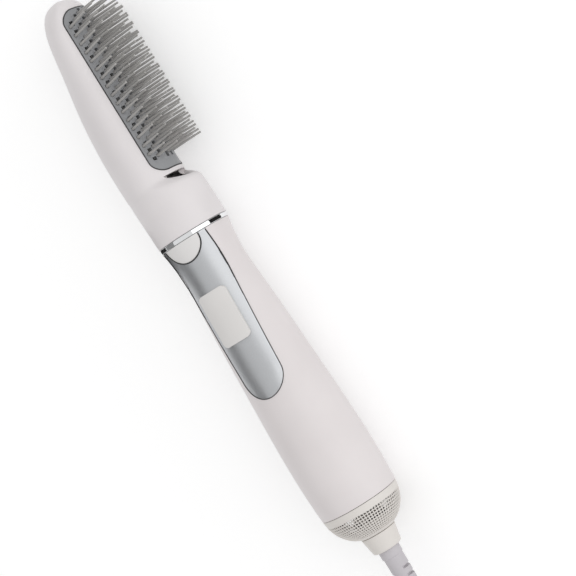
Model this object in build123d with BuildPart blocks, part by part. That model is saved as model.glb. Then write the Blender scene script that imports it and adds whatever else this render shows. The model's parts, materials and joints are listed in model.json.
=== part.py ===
"""Hot air brush: a slim dryer body with a slide-off brush head, a release button,
a three-position switch, an axial fan and a swivelling cord end.

Millimetres. The brush lies on its belly on z = 0, with its long axis along X: the head
points to -X, the pins to +Y and the control panel to +Z. Distances along the body are
counted from the chrome ring, and radii from the body's long axis.
"""
from build123d import *
import math
import os

os.makedirs("parts", exist_ok=True)

# ---- Driving sizes: the body ------------------------------------------------------------
ring_radius = 19.95
ring_width = 2.4
ring_wall = 2.15
belly_radius = 22.5
belly_place = 130.0
shell_wall = 2.6
shell_seam = 160.0
face_gap = 0.2
# stations along the handle: distance from the ring, radius
handle_stations = (
    (ring_width / 2 + face_gap, 19.6), (9.0, 18.3), (20.0, 17.5), (31.0, 18.0), (61.0, 19.8),
    (87.0, 20.95), (belly_place, belly_radius), (shell_seam, 21.7),
)

# ---- Driving sizes: the head ------------------------------------------------------------
head_length = 136.0
head_wall = 2.0
front_wall = 3.4
front_radius = 20.7
front_crown = 12.5
loft_step = 4.0
# stations along the head: distance from the ring, half width, depth of the back, height of
# the front, and how far the front is a full ellipse (0 a shallow arc, 1 an ellipse)
head_stations = (
    (-head_length, 4.6, 1.8, 6.0, 0.0), (-135.2, 7.6, 4.4, 8.0, 0.0), (-132.5, 11.4, 7.4, 10.9, 0.0),
    (-128.0, 14.6, 9.6, 12.4, 0.0), (-120.0, 16.5, 11.9, front_crown, 0.0),
    (-102.0, 17.5, 15.1, front_crown, 0.0), (-77.0, 18.5, 19.6, front_crown, 0.0),
    (-55.0, 18.9, 21.5, front_crown, 0.0), (-40.0, 19.1, 21.6, front_crown, 0.0),
    (-33.0, 19.2, 21.4, front_crown, 0.0), (-30.5, 19.2, 21.3, 12.6, 0.0),
    (-28.2, 19.2, 21.2, 15.2, 0.4), (-26.2, 19.3, 21.1, 17.9, 0.8),
    (-24.0, 19.5, 21.0, 19.3, 1.0), (-20.0, 19.6, 20.8, 19.6, 1.0),
    (-12.0, 19.7, 20.4, 19.8, 1.0),
    (-ring_width / 2 - face_gap, ring_radius, ring_radius, ring_radius, 1.0),
)

# ---- Driving sizes: the bristle plate ---------------------------------------------------
plate_start = -128.4
plate_end = -34.0
plate_half_width = 14.2
plate_corner = 7.0
plate_thickness = 2.0
plate_gap = 0.25
ledge_width = 1.2
pin_rows = 17
pin_columns = 7
pin_pitch = 5.0
pin_column_angle = 12.6
pin_fan = 0.73
pin_length = 16.5
pin_root_radius = 0.85
pin_tip_radius = 0.55
pin_hole_gap = 0.1
first_pin = -122.5
strip_width = 2.0
strip_thickness = 1.5
window_across = 2.3
window_along = 2.9
opening_centres = [first_pin + pin_pitch / 4 + k * 3 * pin_pitch for k in range(6)]
opening_half_length = 6.5
opening_half_width = 20.0
air_hole_radius = 5.6
air_plate_thickness = 1.2

# ---- Driving sizes: the joint between head and body --------------------------------------
spigot_radius = 14.6
spigot_wall = 1.6
spigot_reach = 20.0
slip_gap = 0.3
collar_wall = 1.3
head_travel = 35.0
vent_place = -31.6
vent_half_length = 11.8
vent_depth = 5.2

# ---- Driving sizes: panel, button and switch ---------------------------------------------
panel_thickness = 1.3
panel_length = 91.0
panel_half_width = 14.2
panel_end_radius = 11.9
button_radius = 10.5
button_proud = 0.25
button_travel = 1.2
arm_thickness = 1.0
arm_width = 7.0
arm_rise = 16.2
arm_reach = 7.0
spring_radius = 1.0
spring_wire = 0.2
spring_turns = 3
spring_pitch = 0.5
cap_middle = 44.5
cap_length = 29.0
cap_width = 17.0
cap_lift = 0.45
cap_height = 1.9
switch_travel = 4.5
stem_length = 4.0
stem_width = 3.0

# ---- Driving sizes: heater, fan and motor -------------------------------------------------
sleeve_radius = 12.6
sleeve_wall = 0.6
sleeve_start = 14.0
sleeve_end = 86.0
mica_thickness = 0.8
coil_turns = 10
coil_pitch = 4.8
coil_start = 20.0
coil_wire = 0.5
fan_hub_radius = 6.0
fan_radius = 15.6
fan_place = 101.0
fan_length = 10.0
fan_blades = 7
fan_blade_angle = 32.0
stator_place = 89.0
stator_length = 8.0
stator_vanes_count = 5
motor_radius = 12.0
motor_place = 116.0
motor_length = 26.0
shaft_radius = 1.15
bearing_radius = 3.5
bearing_length = 3.0
running_gap = 0.05
bracket_wall = 1.6
ring_section = 1.2

# ---- Driving sizes: the cord end ----------------------------------------------------------
cap_dome_end = 178.4
cap_wall = 1.8
neck_radius = 9.9
neck_end_radius = 8.3
neck_start = 178.7
neck_end = 188.5
barrel_radius = 7.9
barrel_wall = 1.9
hub_wall = 1.6
relief_collar = 5.9
relief_radius = 5.4
relief_tip_radius = 4.3
relief_length = 41.5
cord_radius = 3.25
lead_radius = 0.7

# ---- Places that follow -------------------------------------------------------------------
relief_end = neck_end + relief_length
ring_x = -(relief_end - head_length) / 2
axis_y = -(front_crown + pin_length - belly_radius) / 2
axis_z = belly_radius
long_axis = Axis((ring_x, axis_y, axis_z), (1, 0, 0))
lengthwise = Plane(origin=(ring_x, axis_y, axis_z), x_dir=(1, 0, 0), z_dir=(0, -1, 0))
front_centre = front_crown - front_radius
plate_axis = Axis((ring_x, axis_y + front_centre, axis_z), (1, 0, 0))


def across(distance):
    """The plane across the body at a distance from the ring: its x is +Y, its y is +Z."""
    return Plane(origin=(ring_x + distance, axis_y, axis_z), x_dir=(0, 1, 0), z_dir=(1, 0, 0))


def plan(height):
    """The plane parallel to the floor, at a height over the long axis, seen from above."""
    return Plane(origin=(ring_x, axis_y, axis_z + height), x_dir=(1, 0, 0), z_dir=(0, 0, 1))


def facing_pins(depth):
    """The plane facing the pins' side, at a depth in front of the long axis."""
    return Plane(origin=(ring_x, axis_y + depth, axis_z), x_dir=(1, 0, 0), z_dir=(0, 1, 0))


def spread_slots(angle, distance=0.0, radius=0.0, centre=0.0):
    """A place turned about the long axis, or about a line in front of it: x out, z along X."""
    out = (0, math.cos(math.radians(angle)), math.sin(math.radians(angle)))
    start = (ring_x + distance, axis_y + centre + radius * out[1], axis_z + radius * out[2])
    return Plane(origin=start, x_dir=out, z_dir=(1, 0, 0))


def write(builder, name):
    """Names a finished piece and writes its STEP file."""
    builder.part.label = name
    export_step(builder.part, f"parts/{name}.step")


def turned_tube(start, end, inner, outer):
    """A plain tube on the long axis."""
    with BuildPart() as tube:
        with BuildSketch(across(start)):
            Circle(outer)
            if inner > 0:
                Circle(inner, mode=Mode.SUBTRACT)
        extrude(amount=end - start)
    return tube.part


def handle_form(inset):
    """The handle's full turned form, its outside moved in by the inset."""
    with BuildPart() as form:
        with BuildSketch(lengthwise):
            with BuildLine():
                outline = Spline(*[(place, radius - inset) for place, radius in handle_stations])
                Polyline(outline @ 1, (shell_seam, 0), (handle_stations[0][0], 0), outline @ 0)
            make_face()
        revolve(axis=long_axis)
    return form.part


def handle_radius(place):
    """The handle's outside radius at a distance from the ring."""
    with BuildLine(mode=Mode.PRIVATE) as outline:
        Spline(*handle_stations)
    low, high = 0.0, 1.0
    for _ in range(40):
        middle = (low + high) / 2
        if (outline.line @ middle).X < place:
            low = middle
        else:
            high = middle
    return (outline.line @ low).Y


def head_section(half_width, back, crown, fullness, radius):
    """Points round one section of the head: y towards the pins, z across."""
    def front(across_z):
        arc = crown - radius + math.sqrt(max(radius**2 - across_z**2, 0))
        ellipse = crown * math.sqrt(1 - (across_z / half_width) ** 2)
        return arc + fullness * (ellipse - arc)

    widest = (1 - fullness) * (front(half_width * 0.98) - 1.2)
    right = [(front(share * half_width), share * half_width) for share in (0.35, 0.65, 0.86)]
    corner_y = front(0.97 * half_width) - 0.5 * (1 - fullness)
    right.append((corner_y, 0.97 * half_width))
    for angle in (100, 125, 152):
        turn = math.radians(angle)
        right.append((widest + (back + widest) * math.cos(turn), half_width * math.sin(turn)))
    left = [(y, -z) for y, z in reversed(right)]
    return [(crown, 0)] + right + [(-back, 0)] + left


def head_shape(place):
    """The head's section values at any distance, on a smooth curve through its stations."""
    index = max(k for k in range(len(head_stations) - 1) if head_stations[k][0] <= place)
    start, end = head_stations[index], head_stations[index + 1]
    before = head_stations[max(index - 1, 0)]
    after = head_stations[min(index + 2, len(head_stations) - 1)]
    step = end[0] - start[0]
    share = (place - start[0]) / step
    values = []
    for k in range(1, 5):
        slope_in = (end[k] - before[k]) / (end[0] - before[0]) * step
        slope_out = (after[k] - start[k]) / (after[0] - start[0]) * step
        values.append(
            start[k] * (1 + 2 * share) * (1 - share) ** 2 + slope_in * share * (1 - share) ** 2
            + end[k] * share**2 * (3 - 2 * share) - slope_out * share**2 * (1 - share))
    return values


def head_form(side_wall, crown_wall, back_end):
    """The head's lofted form, its sides and back moved in by one wall and its front by another."""
    places = []
    for (start, *_), (end, *_) in zip(head_stations, head_stations[1:]):
        steps = max(round((end - start) / loft_step), 2)
        places += [start + (end - start) * k / steps for k in range(steps)]
    places.append(head_stations[-1][0])
    with BuildPart() as form:
        for place in places:
            half_width, back, crown, fullness = head_shape(place)
            front_inset = crown_wall + fullness * (side_wall - crown_wall)
            moved = back_end if place == places[-1] else place * (1 - side_wall / head_length)
            points = head_section(
                half_width - side_wall, back - side_wall, crown - front_inset, fullness,
                front_radius - crown_wall)
            with BuildSketch(across(moved)):
                with BuildLine():
                    Spline(*points, periodic=True)
                make_face()
        loft(ruled=True)
    return form.part


def plate_outline(margin):
    """The bristle plate's outline, grown by the margin, as a column towards the pins."""
    with BuildPart() as column:
        with BuildSketch(facing_pins(0)):
            with Locations(((plate_start + plate_end) / 2, 0)):
                RectangleRounded(
                    plate_end - plate_start + 2 * margin, 2 * (plate_half_width + margin),
                    plate_corner + margin)
        extrude(amount=front_crown + 10)
    return column.part


def plate_cylinder(radius):
    """A round bar on the line that the bristle plate is curved about."""
    with BuildPart() as bar:
        with BuildSketch(across(-head_length)):
            with Locations((front_centre, 0)):
                Circle(radius)
        extrude(amount=head_length)
    return bar.part


def panel_outline(margin):
    """The control panel's outline from above, grown by the margin, as a tall column."""
    narrow = panel_end_radius + margin
    wide = panel_half_width + margin
    round_place = panel_length - panel_end_radius
    with BuildPart() as column:
        with BuildSketch(plan(0)):
            with BuildLine():
                Polyline((round_place, -narrow), (-5, -wide), (-5, wide), (round_place, narrow))
                ThreePointArc((round_place, narrow), (panel_length + margin, 0), (round_place, -narrow))
            make_face()
        extrude(amount=belly_radius + 5)
    return column.part


def button_outline(margin):
    """The release button's round outline, grown by the margin, as a tall column."""
    start = handle_stations[0][0]
    with BuildPart() as column:
        with BuildSketch(plan(0)):
            with Locations((start, 0)):
                Circle(button_radius + margin)
        extrude(amount=belly_radius + 5)
    return column.part


# ---- Head shell: white back and rounded tip, open at the front for the bristle plate ------
with BuildPart() as head_shell:
    add(head_form(0, 0, head_stations[-1][0]))
    add(head_form(head_wall, front_wall, 3.0), mode=Mode.SUBTRACT)
    plate_bed = plate_outline(plate_gap) - plate_cylinder(front_radius - plate_thickness - 0.05)
    add(plate_bed, mode=Mode.SUBTRACT)
    add(plate_outline(-ledge_width), mode=Mode.SUBTRACT)
    with BuildSketch(facing_pins(front_crown - 5)):
        with Locations((vent_place, 0)):
            Ellipse(vent_depth, vent_half_length)
            Rectangle(2 * vent_depth, 3 * vent_half_length, align=(Align.MAX, Align.CENTER),
                      mode=Mode.SUBTRACT)
    extrude(amount=20, mode=Mode.SUBTRACT)
write(head_shell, "head_shell")


# ---- Bristle plate: convex, with a hole for each pin and staggered windows between --------
def pins_in_column(column):
    """Distances of the pins in one column: every second column is half a pitch nearer the tip."""
    start = first_pin - (pin_pitch / 2 if column % 2 else 0)
    places = [start + row * pin_pitch for row in range(pin_rows)]
    edge = front_radius * math.sin(math.radians(abs(column) * pin_column_angle)) + strip_width / 2
    return [place for place in places if place > tip_corner(edge)]


def tip_corner(edge):
    """How far towards the tip a thing this far off the centre line fits in the plate."""
    flat = plate_half_width - plate_corner
    past = max(edge - flat, 0)
    return plate_start + plate_corner - math.sqrt(max(plate_corner**2 - past**2, 0)) + 1.9


def pin_plane(column, place, radius):
    """Where a pin's root stands: z along the pin, x towards the handle."""
    base = math.radians(column * pin_column_angle)
    lean = math.radians(column * pin_column_angle * pin_fan)
    origin = (ring_x + place, axis_y + front_centre + radius * math.cos(base),
              axis_z + radius * math.sin(base))
    return Plane(origin=origin, x_dir=(1, 0, 0), z_dir=(0, math.cos(lean), math.sin(lean)))


columns = range(-(pin_columns // 2), pin_columns // 2 + 1)
strip_top = front_radius - plate_thickness - 0.1
pin_root = strip_top - strip_thickness / 2
with BuildPart() as openings:
    with BuildSketch(facing_pins(0)):
        for centre in opening_centres:
            with Locations((centre, 0)):
                Ellipse(opening_half_length, opening_half_width)
    extrude(amount=front_radius)

# the windows lie three, two and three deep in each opening, clipped to its oval outline
with BuildPart() as windows:
    for column in columns[:-1]:
        middle = math.radians((column + 0.5) * pin_column_angle)
        outward = (0, math.cos(middle), math.sin(middle))
        inside = front_radius - 2 * plate_thickness
        edge = front_radius * abs(math.sin(middle)) + window_across / 2
        staggered = min(abs(column), abs(column + 1)) == 1
        for centre in opening_centres:
            for step in (-0.5, 0.5) if staggered else (-1, 0, 1):
                window = centre + step * pin_pitch
                if window - window_along / 2 < tip_corner(edge) - 1.3:
                    continue
                origin = (ring_x + window, axis_y + front_centre + inside * outward[1],
                          axis_z + inside * outward[2])
                with BuildSketch(Plane(origin=origin, x_dir=(1, 0, 0), z_dir=outward)):
                    Rectangle(window_along, window_across)
    extrude(amount=3 * plate_thickness)
    add(openings.part, mode=Mode.INTERSECT)

with BuildPart() as bristle_plate:
    add(plate_outline(0))
    add(plate_cylinder(front_radius), mode=Mode.INTERSECT)
    add(plate_cylinder(front_radius - plate_thickness), mode=Mode.SUBTRACT)
    for column in columns:
        for place in pins_in_column(column):
            with BuildSketch(pin_plane(column, place, pin_root)):
                Circle(pin_root_radius + pin_hole_gap)
    extrude(amount=3 * plate_thickness, mode=Mode.SUBTRACT)
    add(windows.part, mode=Mode.SUBTRACT)
write(bristle_plate, "bristle_plate")

# ---- Bristle strips: one strip under the plate for each column, its pins through the holes -
with BuildPart() as bristle_strips:
    for column in columns:
        places = pins_in_column(column)
        length = places[-1] - places[0] + strip_width
        base = math.radians(column * pin_column_angle)
        outward = (0, math.cos(base), math.sin(base))
        inside = strip_top - strip_thickness
        origin = (ring_x + (places[0] + places[-1]) / 2, axis_y + front_centre + inside * outward[1],
                  axis_z + inside * outward[2])
        with BuildSketch(Plane(origin=origin, x_dir=(1, 0, 0), z_dir=outward)):
            Rectangle(length, strip_width)
        extrude(amount=strip_thickness - 0.12)
        for place in places:
            height = pin_length + front_radius - pin_root
            with Locations(pin_plane(column, place, pin_root)):
                Cone(pin_root_radius, pin_tip_radius, height - pin_tip_radius,
                     align=(Align.CENTER, Align.CENTER, Align.MIN))
                with Locations((0, 0, height - pin_tip_radius)):
                    Sphere(pin_tip_radius)
write(bristle_strips, "bristle_strips")

# ---- Air plate: the inner plate under the pins, whose round holes spread the air -----------
with BuildPart() as air_plate:
    air_plate_radius = front_radius - front_wall - 0.25
    add(plate_outline(-1.2))
    add(plate_cylinder(air_plate_radius), mode=Mode.INTERSECT)
    add(plate_cylinder(air_plate_radius - air_plate_thickness), mode=Mode.SUBTRACT)
    with BuildSketch(facing_pins(0)):
        for centre in opening_centres:
            with Locations((centre, 0)):
                Circle(air_hole_radius)
    extrude(amount=front_radius, mode=Mode.SUBTRACT)
write(air_plate, "air_plate")

# ---- Head collar: the sleeve inside the shoulder that slides over the body's spigot --------
collar_bore = spigot_radius + slip_gap
collar_start = -(spigot_reach + 1.7)
head_end = head_stations[-1][0]
with BuildPart() as head_collar:
    add(turned_tube(collar_start, head_end - 0.2, collar_bore, collar_bore + collar_wall))
    add(turned_tube(collar_start - 1.3, collar_start, spigot_radius - 1.4, collar_bore + collar_wall))
    add(turned_tube(head_end - 3.0, head_end - 0.2, collar_bore, ring_radius - head_wall - 0.5))
    with BuildSketch(plan(0)):
        with Locations((-arm_reach / 2, 0)):
            Rectangle(arm_reach + 6, arm_width + 2 * slip_gap)
    extrude(amount=ring_radius, mode=Mode.SUBTRACT)
write(head_collar, "head_collar")

with BuildPart() as head_gasket:
    add(turned_tube(collar_start + 0.1, -spigot_reach - 0.2, spigot_radius - 1.4, collar_bore - 0.1))
write(head_gasket, "head_gasket")

# ---- Vent baffle: the brown heat-proof board seen in the slot at the shoulder ---------------
with BuildPart() as vent_baffle:
    lip_radius = spigot_radius - 4.0
    flange_start = collar_start - 2.8
    add(turned_tube(flange_start - 3.8, flange_start, lip_radius - 1.8, lip_radius))
    add(turned_tube(flange_start, flange_start + 1.4, lip_radius - 1.8, spigot_radius + 0.6))
    with BuildSketch(across(flange_start - 4)):
        with Locations((-ring_radius + 2.0, 0)):
            Rectangle(2 * ring_radius, 2 * ring_radius)
    extrude(amount=6, mode=Mode.SUBTRACT)
write(vent_baffle, "vent_baffle")

# ---- Head screws: hold the air plate up against the bristle plate's bed ---------------------
with BuildPart() as head_screws:
    screw_top = front_crown - front_wall - 0.25 - air_plate_thickness - 0.1
    for place in (opening_centres[0] + 1.5 * pin_pitch, opening_centres[-1] - 1.5 * pin_pitch):
        with Locations(facing_pins(screw_top - 1.4).offset(0).location * Location((place, 0, 0))):
            Cylinder(1.7, 1.4, align=(Align.CENTER, Align.CENTER, Align.MIN))
write(head_screws, "head_screws")

# ---- Chrome ring between head and body -----------------------------------------------------
with BuildPart() as chrome_ring:
    with BuildSketch(lengthwise):
        with BuildLine():
            half = ring_width / 2
            inner, crown, edge = ring_radius - ring_wall, ring_radius, ring_radius - 0.35
            ThreePointArc((-half, edge), (0, crown), (half, edge))
            Polyline((half, edge), (half, inner), (-half, inner), (-half, edge))
        make_face()
    revolve(axis=long_axis)
write(chrome_ring, "chrome_ring")

# ---- Outlet spigot: the heat-proof outlet that carries ring and head ------------------------
handle_start = handle_stations[0][0]
spigot_end = sleeve_start - 0.5
with BuildPart() as outlet_spigot:
    bore = spigot_radius - spigot_wall
    add(turned_tube(-spigot_reach, spigot_end, bore, spigot_radius))
    add(turned_tube(-0.8, 0.8, bore + 0.5, ring_radius - ring_wall - 0.1))
    rear_flange = handle_radius(5.0) - shell_wall - 0.15
    add(turned_tube(3.0, 5.0, bore + 0.5, rear_flange))
    with BuildSketch(plan(spigot_radius)):
        Rectangle(4, arm_width + 3)
    extrude(amount=ring_radius, mode=Mode.SUBTRACT)
    with BuildSketch(plan(0)):
        with Locations((4.0, 0)):
            Rectangle(4, 2 * (button_radius + 1))
    extrude(amount=ring_radius, mode=Mode.SUBTRACT)
    add(turned_tube(-spigot_reach, spigot_end, bore, spigot_radius))
write(outlet_spigot, "outlet_spigot")

# ---- Handle shell: one white tube with a bed for the panel ----------------------------------
handle_outside = handle_form(0)
panel_bed_form = handle_form(panel_thickness + 0.05)
handle_inside = handle_form(shell_wall)
opening_length = stem_length + 2 * switch_travel + 4
with BuildPart() as handle_shell:
    add(handle_outside)
    add(handle_inside, mode=Mode.SUBTRACT)
    add(panel_outline(plate_gap) - panel_bed_form, mode=Mode.SUBTRACT)
    add(button_outline(0.4), mode=Mode.SUBTRACT)
    with BuildSketch(plan(0)):
        with Locations((cap_middle, 0)):
            Rectangle(opening_length, 8.4)
    extrude(amount=belly_radius, mode=Mode.SUBTRACT)
write(handle_shell, "handle_shell")

# ---- Control panel: silver, flush in the shell, round at its lower end ----------------------
with BuildPart() as control_panel:
    add(panel_outline(0))
    add(handle_outside, mode=Mode.INTERSECT)
    add(handle_form(panel_thickness), mode=Mode.SUBTRACT)
    add(button_outline(0.35), mode=Mode.SUBTRACT)
    with BuildSketch(plan(0)):
        with Locations((cap_middle, 0)):
            SlotOverall(stem_length + 2 * switch_travel + 2.2, stem_width + 1.0)
    extrude(amount=belly_radius, mode=Mode.SUBTRACT)
write(control_panel, "control_panel")

# ---- Release button and its latch arm, one moulding -----------------------------------------
with BuildPart() as release_button:
    add(button_outline(0))
    add(handle_form(-button_proud), mode=Mode.INTERSECT)
    add(handle_form(panel_thickness), mode=Mode.SUBTRACT)
    arm_back = handle_start + button_radius - 3.5
    with BuildSketch(plan(arm_rise)):
        with Locations(((arm_back - arm_reach) / 2, 0)):
            Rectangle(arm_back + arm_reach, arm_width)
    extrude(amount=arm_thickness)
    with BuildSketch(plan(arm_rise)):
        with Locations((5.2, 0)):
            Rectangle(4.0, arm_width - 1)
    extrude(amount=handle_radius(7.0) - panel_thickness - arm_rise)
    nose_top = ring_radius - head_wall - 0.75
    with BuildSketch(plan(arm_rise)):
        with Locations((-arm_reach + 1.0, 0)):
            Rectangle(2.0, arm_width - 1)
    extrude(amount=nose_top - arm_rise)
write(release_button, "release_button")

# ---- Button springs: one each side of the arm, their turns as closed rings ------------------
with BuildPart() as button_springs:
    for side in (-1, 1):
        spring_y = side * (arm_width / 2 + spring_radius + 3 * spring_wire / 2)
        inner_edge = abs(spring_y) - spring_radius - spring_wire
        seat = math.sqrt(spigot_radius**2 - inner_edge**2) + spring_wire + 0.1
        for turn in range(spring_turns):
            with Locations((ring_x + 8.6, axis_y + spring_y, axis_z + seat + spring_pitch * turn)):
                Torus(spring_radius, spring_wire)
write(button_springs, "button_springs")

# ---- Switch: cap, slider, body and board ----------------------------------------------------
slope = math.degrees(math.atan2(
    handle_radius(cap_middle + 10) - handle_radius(cap_middle - 10), 20))
with BuildPart() as switch_cap:
    with BuildSketch(plan(0)):
        with Locations((cap_middle, 0)):
            RectangleRounded(cap_length, cap_width, 2.6)
    extrude(amount=belly_radius + 5)
    add(handle_form(-cap_height), mode=Mode.INTERSECT)
    add(handle_form(-cap_lift), mode=Mode.SUBTRACT)
write(switch_cap, "switch_cap")

board_top = sleeve_radius + 1.4
body_top = handle_radius(cap_middle - 8) - panel_thickness - 0.45
with BuildPart() as switch_slider:
    with BuildSketch(plan(board_top + 0.9)):
        with Locations((cap_middle, 0)):
            Rectangle(stem_length, stem_width)
    extrude(amount=handle_radius(cap_middle - 2) + cap_lift - 0.05 - board_top - 0.9)
write(switch_slider, "switch_slider")

with BuildPart() as switch_body:
    with BuildSketch(plan(board_top)):
        with Locations((cap_middle, 0)):
            Rectangle(opening_length - 0.8, 7.4)
    extrude(amount=body_top - board_top)
    with BuildSketch(plan(board_top + 0.3)):
        with Locations((cap_middle, 0)):
            Rectangle(stem_length + 2 * switch_travel + 0.8, stem_width + 0.6)
    extrude(amount=body_top, mode=Mode.SUBTRACT)
write(switch_body, "switch_body")

with BuildPart() as circuit_board:
    with BuildSketch(plan(board_top - 1.2)):
        with Locations((cap_middle + 4, 0)):
            Rectangle(36, 10)
    extrude(amount=1.15)
write(circuit_board, "circuit_board")

# ---- Heater: two crossed mica boards in a mica sleeve, with the coil wound round them -------
coil_radius = sleeve_radius - sleeve_wall - 0.9
board_half = sleeve_radius - sleeve_wall - 0.15
board_length = sleeve_end - sleeve_start - 2
coil_places = [coil_start + turn * coil_pitch for turn in range(coil_turns)]
with BuildPart() as mica_sleeve:
    add(turned_tube(sleeve_start, sleeve_end, sleeve_radius - sleeve_wall, sleeve_radius))
write(mica_sleeve, "mica_sleeve")

with BuildPart() as coil_grooves:
    for place in coil_places:
        add(turned_tube(place - coil_wire - 0.1, place + coil_wire + 0.1,
                        coil_radius - coil_wire - 0.1, sleeve_radius))
for name, upright in (("mica_board_upright", True), ("mica_board_flat", False)):
    with BuildPart() as mica_board:
        section = (mica_thickness, 2 * board_half) if upright else (2 * board_half, mica_thickness)
        with BuildSketch(across(sleeve_start + 1)):
            Rectangle(*section)
        extrude(amount=board_length)
        slot = (mica_thickness + 0.2, mica_thickness + 0.2)
        slot_start = sleeve_start + 1 + (board_length / 2 if upright else 0)
        with BuildSketch(across(slot_start)):
            Rectangle(*slot)
        extrude(amount=board_length / 2 + (0.1 if not upright else 0), mode=Mode.SUBTRACT)
        add(coil_grooves.part, mode=Mode.SUBTRACT)
    write(mica_board, name)

with BuildPart() as heater_coil:
    for place in coil_places:
        with Locations(across(place)):
            Torus(coil_radius, coil_wire)
write(heater_coil, "heater_coil")

with BuildPart() as thermostat:
    with BuildSketch(plan(mica_thickness / 2 + 0.02)):
        with Locations((sleeve_end - 9, 5.5)):
            Rectangle(8, 5)
    extrude(amount=3.2)
write(thermostat, "thermostat")

with BuildPart() as thermal_fuse:
    with BuildSketch(across(sleeve_end - 14)):
        with Locations((5.5, -mica_thickness / 2 - 1.35)):
            Circle(1.3)
    extrude(amount=9)
write(thermal_fuse, "thermal_fuse")

# ---- Stator: the still vanes that straighten the fan's air and hold the sleeve --------------
with BuildPart() as stator:
    stator_rim = handle_radius(stator_place) - shell_wall - 0.15
    add(turned_tube(stator_place, stator_place + stator_length, stator_rim - 1.6, stator_rim))
    add(turned_tube(stator_place, stator_place + stator_length, 0, fan_hub_radius - 0.3))
    for vane in range(stator_vanes_count):
        with BuildSketch(spread_slots(90 + vane * 360 / stator_vanes_count, stator_place)):
            with Locations(((fan_hub_radius + stator_rim) / 2 - 1, 0)):
                Rectangle(stator_rim - fan_hub_radius, 1.2)
        extrude(amount=stator_length)
    add(turned_tube(sleeve_end - 3, stator_place + 1, sleeve_radius + 0.1, sleeve_radius + 1.2))
    for vane in range(stator_vanes_count):
        with BuildSketch(spread_slots(90 + vane * 360 / stator_vanes_count, sleeve_end + 0.5)):
            with Locations((sleeve_radius - 1.8, 0)):
                Rectangle(4.4, 1.2)
        extrude(amount=stator_place - sleeve_end)
    with BuildSketch(across(stator_place - 1)):
        with Locations((0, -stator_rim)):
            Rectangle(7, 5)
    extrude(amount=stator_length + 2, mode=Mode.SUBTRACT)
write(stator, "stator")

# ---- Impeller on the motor's shaft -----------------------------------------------------------
with BuildPart() as impeller:
    add(turned_tube(fan_place, fan_place + fan_length, shaft_radius, fan_hub_radius))
    for blade in range(fan_blades):
        angle = 360 * blade / fan_blades
        root = spread_slots(angle, fan_place + fan_length / 2, fan_hub_radius - 0.6)
        blade_plane = Plane(origin=root.origin, x_dir=(1, 0, 0), z_dir=root.x_dir)
        with BuildSketch(blade_plane):
            SlotOverall(fan_length * 0.95, 1.1, rotation=fan_blade_angle)
        extrude(amount=fan_radius - fan_hub_radius + 0.6)
    add(turned_tube(fan_place, fan_place + fan_length, 0, shaft_radius), mode=Mode.SUBTRACT)
write(impeller, "impeller")

shaft_start, shaft_end = fan_place - 0.0, motor_place + motor_length - 1.5
with BuildPart() as motor_shaft:
    add(turned_tube(shaft_start, shaft_end, 0, shaft_radius))
write(motor_shaft, "motor_shaft")

# ---- Motor can, its bearings, the rubber rings and the bracket -------------------------------
bearing_starts = (motor_place + 0.1, motor_place + motor_length - bearing_length - 2.0)
with BuildPart() as motor_can:
    add(turned_tube(motor_place, motor_place + motor_length, 0, motor_radius))
    add(turned_tube(motor_place + 1, motor_place + motor_length - 1, bearing_radius + 2.5,
                    motor_radius - 3.5), mode=Mode.SUBTRACT)
    add(turned_tube(motor_place - 1, shaft_end + 0.5, 0, shaft_radius + 0.4), mode=Mode.SUBTRACT)
    for start in bearing_starts:
        add(turned_tube(start - 0.1, start + bearing_length + 0.1, 0, bearing_radius + 0.02),
            mode=Mode.SUBTRACT)
write(motor_can, "motor_can")

with BuildPart() as motor_bearings:
    for start in bearing_starts:
        add(turned_tube(start, start + bearing_length, shaft_radius + running_gap, bearing_radius))
write(motor_bearings, "motor_bearings")

bracket_bore = motor_radius + ring_section
bracket_start = motor_place + 3
bracket_length = motor_length - 6
bracket_reach = handle_radius(bracket_start) - shell_wall - 0.15
ring_places = (bracket_start + 3, bracket_start + bracket_length - 3)
with BuildPart() as motor_bracket:
    add(turned_tube(bracket_start, bracket_start + bracket_length, bracket_bore,
                    bracket_bore + bracket_wall))
    for rib in range(4):
        with BuildSketch(spread_slots(45 + 90 * rib, bracket_start)):
            with Locations(((bracket_bore + bracket_reach) / 2 + 0.3, 0)):
                Rectangle(bracket_reach - bracket_bore - 0.6, 2.0)
        extrude(amount=bracket_length)
    for place in ring_places:
        add(turned_tube(place - ring_section / 2, place + ring_section / 2, 0, bracket_bore + 0.5),
            mode=Mode.SUBTRACT)
write(motor_bracket, "motor_bracket")

with BuildPart() as damping_rings:
    for place in ring_places:
        add(turned_tube(place - ring_section / 2 + 0.05, place + ring_section / 2 - 0.05,
                        motor_radius + 0.02, bracket_bore + 0.45))
write(damping_rings, "damping_rings")

# ---- End cap: cream dome with rows of intake windows, and a hub for the swivel ---------------
dome_points = ((165.0, 20.9), (170.5, 18.6), (175.2, 14.6))
hub_bore = barrel_radius + running_gap
hub_start = 171.5


def dome_form(inset):
    """The end cap's turned form, its outside moved in by the inset."""
    with BuildPart() as form:
        with BuildSketch(lengthwise):
            with BuildLine():
                outline = Spline(
                    (shell_seam + 0.3, handle_stations[-1][1] - inset),
                    *[(place - 0.6 * inset, radius - 0.8 * inset) for place, radius in dome_points],
                    (cap_dome_end - inset, neck_radius))
                Polyline(outline @ 1, (cap_dome_end - inset, 0), (shell_seam + 0.3, 0), outline @ 0)
            make_face()
        revolve(axis=long_axis)
    return form.part


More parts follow.
